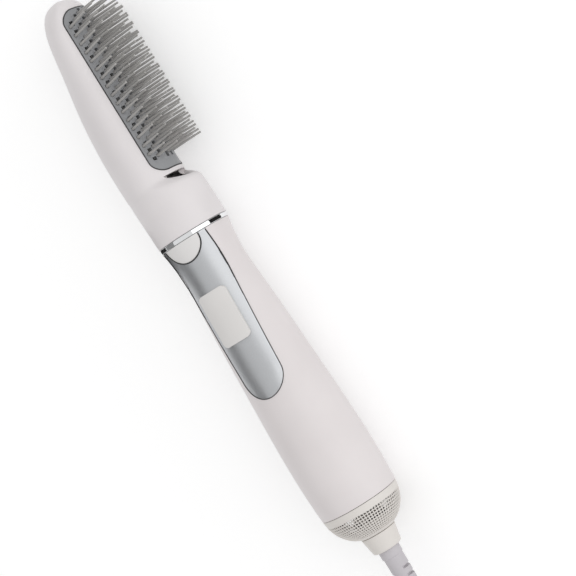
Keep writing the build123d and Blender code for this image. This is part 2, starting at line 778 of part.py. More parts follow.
window_rows = (165.4, 169.6, 173.6)
window_counts = (44, 40, 32)
with BuildPart() as end_cap:
    add(dome_form(0))
    add(dome_form(cap_wall), mode=Mode.SUBTRACT)
    for place, count in zip(window_rows, window_counts):
        for k in range(count):
            with BuildSketch(spread_slots(360 * k / count, place)):
                with Locations((16.5, 0)):
                    Rectangle(12.0, 1.7 if place < 173 else 1.3)
    extrude(amount=2.6, mode=Mode.SUBTRACT)
    add(turned_tube(hub_start, cap_dome_end, 0, hub_bore + hub_wall))
    add(turned_tube(hub_start - 1, cap_dome_end + 1, 0, hub_bore), mode=Mode.SUBTRACT)
    seat_radius = handle_stations[-1][1] - shell_wall - 0.25
    add(turned_tube(shell_seam - 4, shell_seam + 3, seat_radius - 1.4, seat_radius))
    add(turned_tube(shell_seam + 0.3, shell_seam + 1.8, seat_radius - 1.4, seat_radius + cap_wall))
write(end_cap, "end_cap")

with BuildPart() as intake_filter:
    add(turned_tube(shell_seam - 3.5, shell_seam - 2.3, 3.0, seat_radius - 1.55))
write(intake_filter, "intake_filter")

# ---- Swivel neck with its retaining ring, the cord clamp and its screws ----------------------
with BuildPart() as swivel_neck:
    with BuildSketch(lengthwise):
        with BuildLine():
            barrel_start = hub_start - 3.2
            bore = barrel_radius - barrel_wall
            Polyline((neck_end, bore - 1.6), (neck_end, neck_end_radius - 1.2))
            ThreePointArc((neck_end, neck_end_radius - 1.2), (neck_end - 0.35, neck_end_radius - 0.35),
                          (neck_end - 1.2, neck_end_radius))
            Polyline((neck_end - 1.2, neck_end_radius), (neck_start, neck_radius),
                     (neck_start, barrel_radius), (barrel_start, barrel_radius), (barrel_start, bore),
                     (neck_end - 2.5, bore), (neck_end - 2.5, bore - 1.6), (neck_end, bore - 1.6))
        make_face()
    revolve(axis=long_axis)
write(swivel_neck, "swivel_neck")

with BuildPart() as swivel_retainer:
    add(turned_tube(hub_start - 1.9, hub_start - 0.3, barrel_radius - 0.0, hub_bore + hub_wall))
    with BuildSketch(across(hub_start - 2)):
        with Locations((0, barrel_radius + 1)):
            Rectangle(4, 5)
    extrude(amount=3, mode=Mode.SUBTRACT)
write(swivel_retainer, "swivel_retainer")

with BuildPart() as cord_clamp:
    clamp_place = hub_start + 2
    with BuildSketch(across(clamp_place)):
        Circle(barrel_radius - barrel_wall - 0.1)
        Circle(cord_radius, mode=Mode.SUBTRACT)
        Rectangle(0.6, 4 * cord_radius, mode=Mode.SUBTRACT)
    extrude(amount=6)
    for side in (-1, 1):
        with BuildSketch(facing_pins(0)):
            with Locations((clamp_place + 3, side * (cord_radius + 1.35))):
                Circle(0.75)
        extrude(amount=8, both=True, mode=Mode.SUBTRACT)
write(cord_clamp, "cord_clamp")

with BuildPart() as clamp_screws:
    for side in (-1, 1):
        with BuildSketch(facing_pins(0)):
            with Locations((clamp_place + 3, side * (cord_radius + 1.35))):
                Circle(0.7)
        extrude(amount=2.4, both=True)
write(clamp_screws, "clamp_screws")

# ---- Strain relief: ribbed sleeve on the cord, gripped by the neck ---------------------------
rib_start = neck_end + 12
with BuildPart() as strain_relief:
    with BuildSketch(lengthwise):
        with BuildLine():
            grip = barrel_radius - barrel_wall - 1.7
            Polyline((neck_end - 5.0, 0), (neck_end - 5.0, grip + 1.4), (neck_end - 2.6, grip + 1.4),
                     (neck_end - 2.6, grip), (neck_end + 0.1, grip), (neck_end + 0.1, relief_collar),
                     (neck_end + 4.5, relief_collar), (neck_end + 5.0, relief_radius),
                     (rib_start, relief_radius), (relief_end, relief_tip_radius), (relief_end, 0),
                     (neck_end - 5.0, 0))
        make_face()
    revolve(axis=long_axis)
    for rib in range(6):
        for side in (-1, 1):
            place = rib_start + 4.4 * rib + (0 if side > 0 else 2.2)
            with BuildSketch(plan(0)):
                with Locations((place, side * (cord_radius + 5))):
                    Rectangle(1.5, 10)
            extrude(amount=relief_radius + 1, both=True, mode=Mode.SUBTRACT)
write(strain_relief, "strain_relief")

# ---- Cord: out of the strain relief, down to the floor and into a tied hank ------------------
cord_gap = 0.3
cord_width = 2 * cord_radius
tie_width = 14.0
tie_thickness = 1.2
tie_gap = 0.3
hank_fold_radius = 6 * cord_radius
hank_columns = 2
hank_layers = 4
hank_turns = hank_columns * hank_layers - 1
hank_start = relief_end + 74.0
hank_run = 44.0
hank_side = 6.0
hank_half_width = hank_fold_radius + (hank_columns - 0.5) * cord_width
hank_length = hank_run + 2 * hank_half_width
hank_base = tie_thickness + tie_gap
hank_height = hank_layers * cord_width
first_layer = hank_base + 0.5 * cord_width
second_layer = hank_base + 1.5 * cord_width
near_line = hank_side - (hank_half_width - cord_radius)

# route: distance from the ring, distance off the axis, height over the floor
lead_route = (
    (relief_end + cord_gap, 0.0, axis_z),
    (relief_end + 19.0, 0.0, axis_z - 0.6),
    (relief_end + 38.0, -3.0, 16.8),
    (relief_end + 58.0, -9.0, 9.0),
    (relief_end + 77.0, -15.5, first_layer),
    (hank_start + 19.0, near_line, first_layer),
)
tail_start = hank_start + hank_half_width + hank_run
tail_route = (
    (tail_start, near_line, second_layer),
    (tail_start + 17.0, near_line + 1.5, second_layer - 0.5),
    (tail_start + 35.0, near_line + 10.0, second_layer - 2.2),
    (tail_start + 52.0, near_line + 12.5, 8.0),
)


def cord_tube(name, route):
    """A stretch of cord: straight runs joined by arcs as large as the runs allow."""
    points = [Vector(ring_x + x, axis_y + y, z) for x, y, z in route]
    runs = [after - before for before, after in zip(points, points[1:])]
    radii = []
    for before, after in zip(runs, runs[1:]):
        turn = math.radians(before.get_angle(after))
        radii.append(0.45 * min(before.length, after.length) / math.tan(turn / 2))
    with BuildPart() as tube:
        with BuildLine() as path:
            FilletPolyline(*points, radius=radii)
        with BuildSketch(Plane(origin=points[0], z_dir=runs[0])):
            Circle(cord_radius)
        sweep()
    wire = path.wire()
    length = wire.length
    section = math.pi * cord_radius**2
    print(name, "radii", [round(radius, 1) for radius in radii], "length", round(length, 1),
          "volume over section x length", round(tube.part.volume / (section * length), 4))
    write(tube, name)
    end = wire % 1
    return length, Vector(end.X, end.Y, 0), points[-1]


lead_length, _, _ = cord_tube("cord_lead", lead_route)
tail_made, tail_direction, tail_tip = cord_tube("cord_tail", tail_route)
outer_fold = hank_fold_radius + (hank_columns - 1) * cord_width
hank_folds = 2 * math.pi * (hank_layers * hank_fold_radius + (hank_layers - 1) * outer_fold)
hank_cord = (2 * hank_turns + 1) * hank_run + hank_folds + hank_half_width - 19.0
print("cord length", round(lead_length + tail_made + hank_cord, 1), "hank", round(hank_length, 1),
      "x", round(2 * hank_half_width, 1))

with BuildPart() as cord_hank:
    with BuildSketch(Plane.XY.offset(hank_base)):
        with Locations((ring_x + hank_start + hank_length / 2, axis_y + hank_side)):
            SlotOverall(hank_length, 2 * hank_half_width)
    extrude(amount=hank_height)
    fillet(cord_hank.edges().filter_by(GeomType.CIRCLE), cord_radius * 0.9)
write(cord_hank, "cord_hank")

# ---- Cord tie: a strap round the hank's middle ------------------------------------------------
with BuildPart() as cord_tie:
    tie_start = ring_x + hank_start + hank_length / 2 - tie_width / 2
    tie_plane = Plane(origin=(tie_start, axis_y + hank_side, hank_base + hank_height / 2),
                      x_dir=(0, 1, 0), z_dir=(1, 0, 0))
    inner_size = (2 * (hank_half_width + tie_gap), hank_height + 2 * tie_gap)
    with BuildSketch(tie_plane):
        RectangleRounded(inner_size[0] + 2 * tie_thickness, inner_size[1] + 2 * tie_thickness,
                         cord_radius + tie_gap + tie_thickness)
        RectangleRounded(*inner_size, cord_radius + tie_gap, mode=Mode.SUBTRACT)
    extrude(amount=tie_width)
write(cord_tie, "cord_tie")

# ---- Plug: moulded body with two round pins ----------------------------------------------------
plug_length = 34.0
plug_collar = 10.0
pin_radius = 2.4
pin_reach = 19.0
pin_spacing = 19.0
plug_plane = Plane(origin=tail_tip, x_dir=(0, 1, 0), z_dir=tail_direction)
with BuildPart() as plug_body:
    with BuildSketch(plug_plane):
        Circle(cord_radius + 0.9)
    with BuildSketch(plug_plane.offset(plug_collar)):
        Circle(cord_radius + 2.2)
    with BuildSketch(plug_plane.offset(plug_collar + 9)):
        RectangleRounded(30, 14, 5)
    with BuildSketch(plug_plane.offset(plug_length)):
        RectangleRounded(35, 15, 5.5)
    loft(ruled=True)
write(plug_body, "plug_body")

with BuildPart() as plug_pins:
    for side in (-1, 1):
        with BuildSketch(plug_plane.offset(plug_length)):
            with Locations((side * pin_spacing / 2, 0)):
                Circle(pin_radius)
        extrude(amount=pin_reach)
    fillet(plug_pins.edges().filter_by(GeomType.CIRCLE).group_by(Axis(tail_tip, tail_direction))[-1], 1.2)
write(plug_pins, "plug_pins")
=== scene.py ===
import json
import math
import bmesh
import bpy
from mathutils import Matrix, Vector
from mathutils.bvhtree import BVHTree

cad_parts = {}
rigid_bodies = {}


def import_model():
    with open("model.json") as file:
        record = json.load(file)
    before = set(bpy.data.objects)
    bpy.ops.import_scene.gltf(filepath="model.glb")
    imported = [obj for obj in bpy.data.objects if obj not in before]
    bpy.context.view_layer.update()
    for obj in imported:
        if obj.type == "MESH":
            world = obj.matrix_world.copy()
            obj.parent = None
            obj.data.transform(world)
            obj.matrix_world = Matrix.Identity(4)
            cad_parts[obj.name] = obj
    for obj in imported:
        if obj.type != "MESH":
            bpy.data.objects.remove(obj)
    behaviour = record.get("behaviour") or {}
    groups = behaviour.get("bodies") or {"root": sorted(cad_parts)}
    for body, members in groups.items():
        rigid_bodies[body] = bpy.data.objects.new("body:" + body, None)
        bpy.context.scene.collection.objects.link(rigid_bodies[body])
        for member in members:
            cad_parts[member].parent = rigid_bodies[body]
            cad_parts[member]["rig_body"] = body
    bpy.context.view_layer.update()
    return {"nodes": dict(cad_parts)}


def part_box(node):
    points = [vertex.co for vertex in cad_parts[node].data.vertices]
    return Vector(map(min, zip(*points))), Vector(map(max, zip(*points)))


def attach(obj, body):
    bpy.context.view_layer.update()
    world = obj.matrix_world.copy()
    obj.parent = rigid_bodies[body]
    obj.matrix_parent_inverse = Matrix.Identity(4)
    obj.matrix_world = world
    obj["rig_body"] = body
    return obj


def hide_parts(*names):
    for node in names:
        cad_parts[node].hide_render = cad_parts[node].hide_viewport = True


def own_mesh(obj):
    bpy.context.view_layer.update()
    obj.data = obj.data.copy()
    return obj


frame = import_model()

# ---- Camera, light and floor -----------------------------------------------------------------
# A long lens looks down on the handle, past the panel and the pins. The floor and the world are
# plain and pale, two large soft lamps light the brush, and three cards that only reflections see
# put the darker bands in the bright metal.
scene = bpy.context.scene
scene.view_settings.view_transform = "Standard"
# Everything is set out from the chrome ring's middle, on the long axis.
ring_low, ring_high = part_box("chrome_ring")
ring_x = (ring_low.x + ring_high.x) / 2
axis_y = (ring_low.y + ring_high.y) / 2
axis_z = (ring_low.z + ring_high.z) / 2
to_camera = Vector((0, 0.454, 0.891)).normalized()
picture_up = Vector((-0.8508, 0.468, -0.2386)).normalized()
picture_right = picture_up.cross(to_camera).normalized()
look_at = Vector((ring_x + 0.0489, axis_y + 0.02334, axis_z - 0.0119))
camera_distance = 0.9
camera = bpy.data.objects.new("camera", bpy.data.cameras.new("camera"))
scene.collection.objects.link(camera)
camera.data.sensor_width = 36
camera.data.lens = 110.1
camera.data.clip_start = 0.01
camera.matrix_world = Matrix.Translation(look_at + to_camera * camera_distance) @ Matrix(
    (picture_right, picture_up, to_camera)).transposed().to_4x4()
scene.camera = camera


def seen_rays(nodes, links):
    """One for the rays that the camera and reflections see, and nothing for the rest."""
    light_path = nodes.new("ShaderNodeLightPath")
    either = nodes.new("ShaderNodeMath")
    either.operation = "MAXIMUM"
    links.new(light_path.outputs["Is Camera Ray"], either.inputs[0])
    links.new(light_path.outputs["Is Glossy Ray"], either.inputs[1])
    return either.outputs[0]


world = bpy.data.worlds.new("studio")
scene.world = world
world.use_nodes = True
nodes, links = world.node_tree.nodes, world.node_tree.links
backdrop = nodes["Background"]
backdrop.inputs["Color"].default_value = (1, 1, 1, 1)
backdrop.inputs["Strength"].default_value = 0.74
seen = nodes.new("ShaderNodeBackground")
seen.inputs["Strength"].default_value = 1.0
mixed = nodes.new("ShaderNodeMixShader")
links.new(seen_rays(nodes, links), mixed.inputs[0])
links.new(backdrop.outputs[0], mixed.inputs[1])
links.new(seen.outputs[0], mixed.inputs[2])
links.new(mixed.outputs[0], nodes["World Output"].inputs["Surface"])


def soft_lamp(name, direction, distance, size, power):
    """A square area lamp that faces the handle from a direction, unseen by the camera."""
    lamp = bpy.data.lights.new(name, "AREA")
    lamp.size = size
    lamp.energy = power
    holder = bpy.data.objects.new(name, lamp)
    scene.collection.objects.link(holder)
    way = Vector(direction).normalized()
    holder.location = look_at + way * distance
    holder.rotation_euler = way.to_track_quat("Z", "Y").to_euler()
    holder.visible_camera = False


soft_lamp("front_lamp", to_camera + 0.45 * picture_right + 0.3 * picture_up, 1.3, 1.6, 5.0)
soft_lamp("side_lamp", 0.4 * to_camera + picture_right - 0.2 * picture_up, 1.2, 1.0, 1.0)


def flat_sheet(name, low, high, height):
    """A flat four-sided sheet at one height."""
    mesh = bpy.data.meshes.new(name)
    corners = [(low[0], low[1], height), (high[0], low[1], height),
               (high[0], high[1], height), (low[0], high[1], height)]
    mesh.from_pydata(corners, [], [(0, 1, 2, 3)])
    sheet = bpy.data.objects.new(name, mesh)
    scene.collection.objects.link(sheet)
    return sheet


floor = flat_sheet("floor", (-3, -3), (3, 3), -0.0003)
floor_paint = bpy.data.materials.new("floor_paint")
floor_paint.use_nodes = True
nodes, links = floor_paint.node_tree.nodes, floor_paint.node_tree.links
nodes["Principled BSDF"].inputs["Base Color"].default_value = (0.86, 0.86, 0.86, 1)
nodes["Principled BSDF"].inputs["Roughness"].default_value = 0.9
nodes["Principled BSDF"].inputs["Specular IOR Level"].default_value = 0.1
glow = nodes.new("ShaderNodeEmission")
gated = nodes.new("ShaderNodeMath")
gated.operation = "MULTIPLY"
gated.inputs[1].default_value = 0.30
links.new(seen_rays(nodes, links), gated.inputs[0])
links.new(gated.outputs[0], glow.inputs["Strength"])
summed = nodes.new("ShaderNodeAddShader")
links.new(nodes["Principled BSDF"].outputs[0], summed.inputs[0])
links.new(glow.outputs[0], summed.inputs[1])
links.new(summed.outputs[0], nodes["Material Output"].inputs["Surface"])
floor.data.materials.append(floor_paint)


def reflector(name, middle, facing, width, height, shade):
    """A plain card that only reflections see: it puts the darker bands in the bright metal."""
    card = flat_sheet(name, (-width / 2, -height / 2), (width / 2, height / 2), 0)
    card.location = middle
    card.rotation_euler = Vector(facing).to_track_quat("Z", "Y").to_euler()
    felt = bpy.data.materials.new(name + "_felt")
    felt.use_nodes = True
    felt.node_tree.nodes["Principled BSDF"].inputs["Base Color"].default_value = (shade, shade, shade, 1)
    felt.node_tree.nodes["Principled BSDF"].inputs["Roughness"].default_value = 1.0
    card.data.materials.append(felt)
    card.visible_camera = card.visible_diffuse = card.visible_shadow = False


ring_place = Vector((ring_x, axis_y, axis_z))
overhead = Vector((0, -math.sin(math.radians(60)), math.cos(math.radians(60))))
reflector("grey_card", look_at + overhead * 0.5, -overhead, 1.0, 0.30, 0.30)
reflector("left_card", ring_place + Vector((0, -0.06, 0.0)), (0, 1, 0), 0.03, 0.05, 0.02)
reflector("right_card", ring_place + Vector((0, 0.042, -0.005)), (0, -1, 0), 0.03, 0.034, 0.02)

# ---- Head shell --------------------------------------------------------------------------------
# One hollow moulding in white heat-proof plastic, with a satin skin from its tool. The bristle
# plate drops into its front, and a slot at the shoulder lets spare air out over the pins.
def new_paint(name):
    """A node material with its nodes, links and shader, and the piece's own coordinates."""
    paint = bpy.data.materials.new(name)
    paint.use_nodes = True
    nodes, links = paint.node_tree.nodes, paint.node_tree.links
    return paint, nodes, links, nodes["Principled BSDF"], nodes.new("ShaderNodeTexCoord")


def two_tones(nodes, low, high, dark, light):
    """A ramp from a dark shade to a light one between two values."""
    tone = nodes.new("ShaderNodeValToRGB")
    for stop, position, colour in zip(tone.color_ramp.elements, (low, high), (dark, light)):
        stop.position = position
        stop.color = (*colour, 1)
    return tone


def moulded_plastic(name, light, dark, gloss):
    """Satin plastic: a slow cloud between two near shades, uneven gloss and a fine tool grain."""
    paint, nodes, links, shader, place = new_paint(name)
    cloud = nodes.new("ShaderNodeTexNoise")
    cloud.inputs["Scale"].default_value = 35.0
    cloud.inputs["Detail"].default_value = 4.0
    tone = two_tones(nodes, 0.35, 0.65, dark, light)
    sheen = nodes.new("ShaderNodeMapRange")
    sheen.inputs["To Min"].default_value = gloss - 0.05
    sheen.inputs["To Max"].default_value = gloss + 0.05
    grain = nodes.new("ShaderNodeTexNoise")
    grain.inputs["Scale"].default_value = 2600.0
    grain.inputs["Detail"].default_value = 2.0
    bump = nodes.new("ShaderNodeBump")
    bump.inputs["Strength"].default_value = 0.05
    bump.inputs["Distance"].default_value = 0.0002
    links.new(place.outputs["Object"], cloud.inputs["Vector"])
    links.new(place.outputs["Object"], grain.inputs["Vector"])
    links.new(cloud.outputs["Fac"], tone.inputs["Fac"])
    links.new(tone.outputs["Color"], shader.inputs["Base Color"])
    links.new(cloud.outputs["Fac"], sheen.inputs["Value"])
    links.new(sheen.outputs["Result"], shader.inputs["Roughness"])
    links.new(grain.outputs["Fac"], bump.inputs["Height"])
    links.new(bump.outputs["Normal"], shader.inputs["Normal"])
    shader.inputs["Specular IOR Level"].default_value = 0.4
    return paint


def new_piece(name, mesh, material, crease=35):
    """A finished piece from a mesh: smooth over its curves, sharp at its creases."""
    mesh.name = name
    mesh.shade_smooth()
    mesh.set_sharp_from_angle(angle=math.radians(crease))
    mesh.materials.clear()
    mesh.materials.append(material)
    piece = bpy.data.objects.new(name, mesh)
    scene.collection.objects.link(piece)
    return piece


def evaluated_mesh(piece):
    """The plain mesh that a piece's modifiers make, with the piece itself taken away."""
    mesh = bpy.data.meshes.new_from_object(piece.evaluated_get(bpy.context.evaluated_depsgraph_get()))
    bpy.data.objects.remove(piece)
    return mesh


def softened_skin(node, name, material, edge, crease=35):
    """A moulding's own skin over its node: the same form with its sharp edges rounded over."""
    work = bmesh.new()
    work.from_mesh(frame["nodes"][node].data)
    bmesh.ops.remove_doubles(work, verts=work.verts, dist=2e-6)
    bmesh.ops.dissolve_limit(work, angle_limit=math.radians(0.5), verts=work.verts,
                             edges=work.edges, delimit={"NORMAL"})
    plain = bpy.data.meshes.new(name)
    work.to_mesh(plain)
    work.free()
    if "custom_normal" in plain.attributes:
        plain.attributes.remove(plain.attributes["custom_normal"])
    rough = bpy.data.objects.new(name + "_rough", plain)
    scene.collection.objects.link(rough)
    if edge:
        bevel = rough.modifiers.new("edges", "BEVEL")
        bevel.width = edge
        bevel.segments = 2
        bevel.limit_method = "ANGLE"
        bevel.angle_limit = math.radians(crease)
        bevel.use_clamp_overlap = True
    piece = new_piece(name, evaluated_mesh(rough), material, crease)
    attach(piece, frame["nodes"][node]["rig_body"])
    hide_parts(node)
    return piece


head_white = moulded_plastic("satin_white_head", (0.80, 0.765, 0.77), (0.775, 0.74, 0.745), 0.40)
head_skin = softened_skin("head_shell", "head_moulding", head_white, 0.0002)

# ---- Bristle plate -----------------------------------------------------------------------------
# A convex plate in cool grey nylon, snapped into the head's front. It has a round hole for each
# pin, six oval groups of windows between the pins, and a thin black strip round its edge that is
# painted shade for the shadowed gap between plate and head.
plate_grey = moulded_plastic("cool_grey_plate", (0.30, 0.305, 0.315), (0.27, 0.275, 0.285), 0.38)
plate_skin = softened_skin("bristle_plate", "bristle_plate_skin", plate_grey, 0.00012)
# Black rubber for the hidden gasket and damping rings. The same black is also painted shade in the gaps
# round the plate, the panel and the button.
seal_and_gap_shade_black = moulded_plastic("black_seal_and_gap_shade", (0.035, 0.035, 0.035), (0.025, 0.025, 0.025), 0.6)


def gap_shade_line(name, points, targets, down, thickness, body):
    """A thin black strip laid along a joint, level with the mean of the faces either side of it.
    It is painted shade that stands in for the shadowed gap there.
    """
    curve = bpy.data.curves.new(name, "CURVE")
    curve.dimensions = "3D"
    curve.bevel_depth = thickness / 2
    curve.bevel_resolution = 2
    trees = [BVHTree.FromObject(target, bpy.context.evaluated_depsgraph_get()) for target in targets]
    along = Vector((1, 0, 0))
    across = down.cross(along)
    probes, reach, step_down, proud = 8, 0.0006, 0.0012, 0.1
    turns = [math.tau * k / probes for k in range(probes)]
    landed = []
    for point in points:
        around = [point + (along * math.cos(turn) + across * math.sin(turn)) * reach for turn in turns]
        falls = [tree.ray_cast(probe, down)[3] for probe in around for tree in trees]
        falls = [fall for fall in falls if fall is not None]
        top_falls = [fall for fall in falls if fall < min(falls) + step_down]
        landed.append(point + down * (sum(top_falls) / len(top_falls) - thickness * proud))
    line = curve.splines.new("POLY")
    line.points.add(len(landed) - 1)
    for point, place in zip(line.points, landed):
        point.co = (*place, 1)
    holder = bpy.data.objects.new(name + "_line", curve)
    scene.collection.objects.link(holder)
    piece = new_piece(name, evaluated_mesh(holder), seal_and_gap_shade_black)
    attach(piece, body)
    return piece


# The black strip round the plate is painted shade: it stands in for the shadowed gap between plate and
# head.
plate_low, plate_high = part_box("bristle_plate")
plate_corner = 0.0070
corner_steps = 12
gap_shade_corner = plate_corner * 1.01
gap_shade_drop = 0.01
gap_shade_step = 0.002
gap_shade_points = []
for corner, (x, z) in enumerate(((plate_high.x, plate_high.z), (plate_low.x, plate_high.z),
                                 (plate_low.x, plate_low.z), (plate_high.x, plate_low.z))):
    x_middle = x + (plate_corner if x == plate_low.x else -plate_corner)
    z_middle = z + (plate_corner if z == plate_low.z else -plate_corner)
    for step in range(corner_steps + 1):
        angle = math.radians(90 * corner + 90 * step / corner_steps)
        gap_shade_points.append(Vector((x_middle + gap_shade_corner * math.cos(angle), plate_high.y + gap_shade_drop,
                                   z_middle + gap_shade_corner * math.sin(angle))))
plate_gap_shade_points = []
for start, end in zip(gap_shade_points, gap_shade_points[1:] + gap_shade_points[:1]):
    stretches = max(round((end - start).length / gap_shade_step), 1)
    plate_gap_shade_points += [start.lerp(end, k / stretches) for k in range(stretches)]
plate_gap_shade_points.append(plate_gap_shade_points[0])
gap_shade_line("plate_gap_shade", plate_gap_shade_points, [plate_skin, head_skin], Vector((0, -1, 0)),
          thickness=0.0006, body="head")

# ---- Bristles ----------------------------------------------------------------------------------
# Seven strips of flexible grey nylon lie under the plate, and their pins stand up through its
# holes. A pin thins upwards, ends in a smooth round tip and leans a touch its own way.
pin_pitch, pin_rows, pin_columns = 0.005, 17, 7
pin_column_angle = math.radians(12.6)
pin_fan = 0.73
front_radius = 0.0207
front_crown = 0.0125
front_centre = front_crown - front_radius
plate_thickness = 0.002
plate_half_width = 0.0142
strip_width = 0.002
strip_thickness = 0.0015
strip_gap = 0.0001
pin_root = front_radius - plate_thickness - strip_gap - strip_thickness / 2
pin_length = 0.0165
pin_height = pin_length + front_radius - pin_root
first_pin = ring_x - 0.1225
pin_margin = 0.0019
bristle_grey = moulded_plastic("grey_nylon_pins", (0.43, 0.42, 0.405), (0.38, 0.37, 0.36), 0.24)


def pins_in_column(column):
    """Where the pins of one column stand; every second one starts half a pitch nearer the tip."""
    start = first_pin - (pin_pitch / 2 if column % 2 else 0)
    edge = front_radius * math.sin(abs(column) * pin_column_angle) + strip_width / 2
    past = max(edge - (plate_half_width - plate_corner), 0)
    corner = plate_corner - math.sqrt(max(plate_corner**2 - past**2, 0))
    places = [start + row * pin_pitch for row in range(pin_rows)]
    return [place for place in places if place > plate_low.x + corner + pin_margin]


roots, aims = [], []
for column in range(-(pin_columns // 2), pin_columns // 2 + 1):
    base = column * pin_column_angle
    for place in pins_in_column(column):
        roots.append((place, axis_y + front_centre + pin_root * math.cos(base),
                      axis_z + pin_root * math.sin(base)))
        aims.append(Vector((0, math.cos(base * pin_fan), math.sin(base * pin_fan))))
root_mesh = bpy.data.meshes.new("pin_roots")
root_mesh.from_pydata(roots, [], [])
aim = root_mesh.attributes.new("aim", "FLOAT_VECTOR", "POINT")
for value, direction in zip(aim.data, aims):
    value.vector = direction


def new_tree(name, sizes):
    """An empty geometry tree: a geometry in and out, and named inputs for sizes and material."""
    tree = bpy.data.node_groups.new(name, "GeometryNodeTree")
    tree.interface.new_socket("Geometry", in_out="INPUT", socket_type="NodeSocketGeometry")
    for label, value in sizes.items():
        kind = "NodeSocketInt" if isinstance(value, int) else "NodeSocketFloat"
        tree.interface.new_socket(label, in_out="INPUT", socket_type=kind)
    tree.interface.new_socket("Material", in_out="INPUT", socket_type="NodeSocketMaterial")
    tree.interface.new_socket("Geometry", in_out="OUTPUT", socket_type="NodeSocketGeometry")
    return tree, tree.nodes.new("NodeGroupInput"), tree.nodes.new("NodeGroupOutput")


def end_tree(tree, given, result, last):
    """Ends a geometry tree: what it made is realised and given the tree's material."""
    realised = tree.nodes.new("GeometryNodeRealizeInstances")
    painted = tree.nodes.new("GeometryNodeSetMaterial")
    tree.links.new(last.outputs[0], realised.inputs[0])
    tree.links.new(realised.outputs[0], painted.inputs["Geometry"])
    tree.links.new(given.outputs["Material"], painted.inputs["Material"])
    tree.links.new(painted.outputs[0], result.inputs[0])


def grown(holder, tree, values):
    """Runs a geometry tree on an object with its inputs set, and gives the plain mesh."""
    modifier = holder.modifiers.new("growth", "NODES")
    modifier.node_group = tree
    for item in tree.interface.items_tree:
        if item.in_out == "INPUT" and item.name in values:
            modifier[item.identifier] = values[item.name]
    return evaluated_mesh(holder)


pin_sizes = {"Pin Height": pin_height, "Root Radius": 0.00085, "Tip Radius": 0.0005,
             "Ball Radius": 0.00062, "Lean": 0.022, "Seed": 4}
tree, given, result = new_tree("bristle_field", pin_sizes)
link = tree.links.new
shaft = tree.nodes.new("GeometryNodeMeshCone")
shaft.fill_type = "NONE"
shaft.inputs["Vertices"].default_value = 10
link(given.outputs["Tip Radius"], shaft.inputs["Radius Top"])
link(given.outputs["Root Radius"], shaft.inputs["Radius Bottom"])
link(given.outputs["Pin Height"], shaft.inputs["Depth"])
ball = tree.nodes.new("GeometryNodeMeshUVSphere")
ball.inputs["Segments"].default_value = 10
ball.inputs["Rings"].default_value = 6
link(given.outputs["Ball Radius"], ball.inputs["Radius"])
tip_place = tree.nodes.new("ShaderNodeCombineXYZ")
link(given.outputs["Pin Height"], tip_place.inputs["Z"])
lifted = tree.nodes.new("GeometryNodeTransform")
link(ball.outputs["Mesh"], lifted.inputs["Geometry"])
link(tip_place.outputs[0], lifted.inputs["Translation"])
pin = tree.nodes.new("GeometryNodeJoinGeometry")
link(shaft.outputs["Mesh"], pin.inputs[0])
link(lifted.outputs[0], pin.inputs[0])
aimed = tree.nodes.new("GeometryNodeInputNamedAttribute")
aimed.data_type = "FLOAT_VECTOR"
aimed.inputs["Name"].default_value = "aim"
least_lean = tree.nodes.new("ShaderNodeMath")
least_lean.operation = "MULTIPLY"
least_lean.inputs[1].default_value = -1.0
link(given.outputs["Lean"], least_lean.inputs[0])
own_lean = tree.nodes.new("FunctionNodeRandomValue")
own_lean.data_type = "FLOAT_VECTOR"
link(least_lean.outputs[0], own_lean.inputs[0])
link(given.outputs["Lean"], own_lean.inputs[1])
link(given.outputs["Seed"], own_lean.inputs["Seed"])
leant = tree.nodes.new("ShaderNodeVectorMath")
link(aimed.outputs["Attribute"], leant.inputs[0])
link(own_lean.outputs[0], leant.inputs[1])
turned_up = tree.nodes.new("FunctionNodeAlignRotationToVector")
turned_up.axis = "Z"
link(leant.outputs[0], turned_up.inputs["Vector"])
planted = tree.nodes.new("GeometryNodeInstanceOnPoints")
link(given.outputs["Geometry"], planted.inputs["Points"])
link(pin.outputs[0], planted.inputs["Instance"])
link(turned_up.outputs[0], planted.inputs["Rotation"])
end_tree(tree, given, result, planted)
root_holder = bpy.data.objects.new("pin_roots", root_mesh)
scene.collection.objects.link(root_holder)
strip_drop, strip_depth, strip_edge = 0.0001, 0.0012, 0.0002
pins = bmesh.new()
pins.from_mesh(grown(root_holder, tree, {**pin_sizes, "Material": bristle_grey}))
for column in range(-(pin_columns // 2), pin_columns // 2 + 1):
    base = column * pin_column_angle
    places = pins_in_column(column)
    out, side = Vector((0, math.cos(base), math.sin(base))), Vector((0, -math.sin(base), math.cos(base)))
    middle = Vector(((places[0] + places[-1]) / 2, axis_y + front_centre, axis_z))
    middle += out * (pin_root - strip_drop)
    strip = Matrix((Vector((places[-1] - places[0] + strip_width, 0, 0)), side * strip_width,
                    out * strip_depth)).transposed().to_4x4()
    made = bmesh.ops.create_cube(pins, size=1.0, matrix=Matrix.Translation(middle) @ strip)
    bmesh.ops.bevel(pins, geom=list({edge for vert in made["verts"] for edge in vert.link_edges}),
                    offset=strip_edge, segments=1, affect="EDGES")
pin_mesh = bpy.data.meshes.new("bristle_pins")
bmesh.ops.recalc_face_normals(pins, faces=pins.faces)
pins.to_mesh(pin_mesh)
pins.free()
bristle_pins = new_piece("bristle_pins", pin_mesh, bristle_grey, 50)
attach(bristle_pins, "head")
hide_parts("bristle_strips")

# ---- Inside of the head ------------------------------------------------------------------------
# The perforated air plate, the collar that slides over the body's spigot, its rubber gasket and
# the brown board baffle at the shoulder slot. All are dull, heat-proof and out of the light.
def give_finish(material, *nodes):
    """Puts one material on hidden or plain nodes, whose own form is kept."""
    for node in nodes:
        for held in frame["nodes"][node].material_slots:
            held.material = material


dark_heatproof = moulded_plastic("dark_heatproof", (0.028, 0.027, 0.026), (0.018, 0.018, 0.018), 0.55)
give_finish(dark_heatproof, "air_plate", "head_collar", "outlet_spigot", "stator", "motor_bracket")
give_finish(seal_and_gap_shade_black, "head_gasket", "damping_rings")


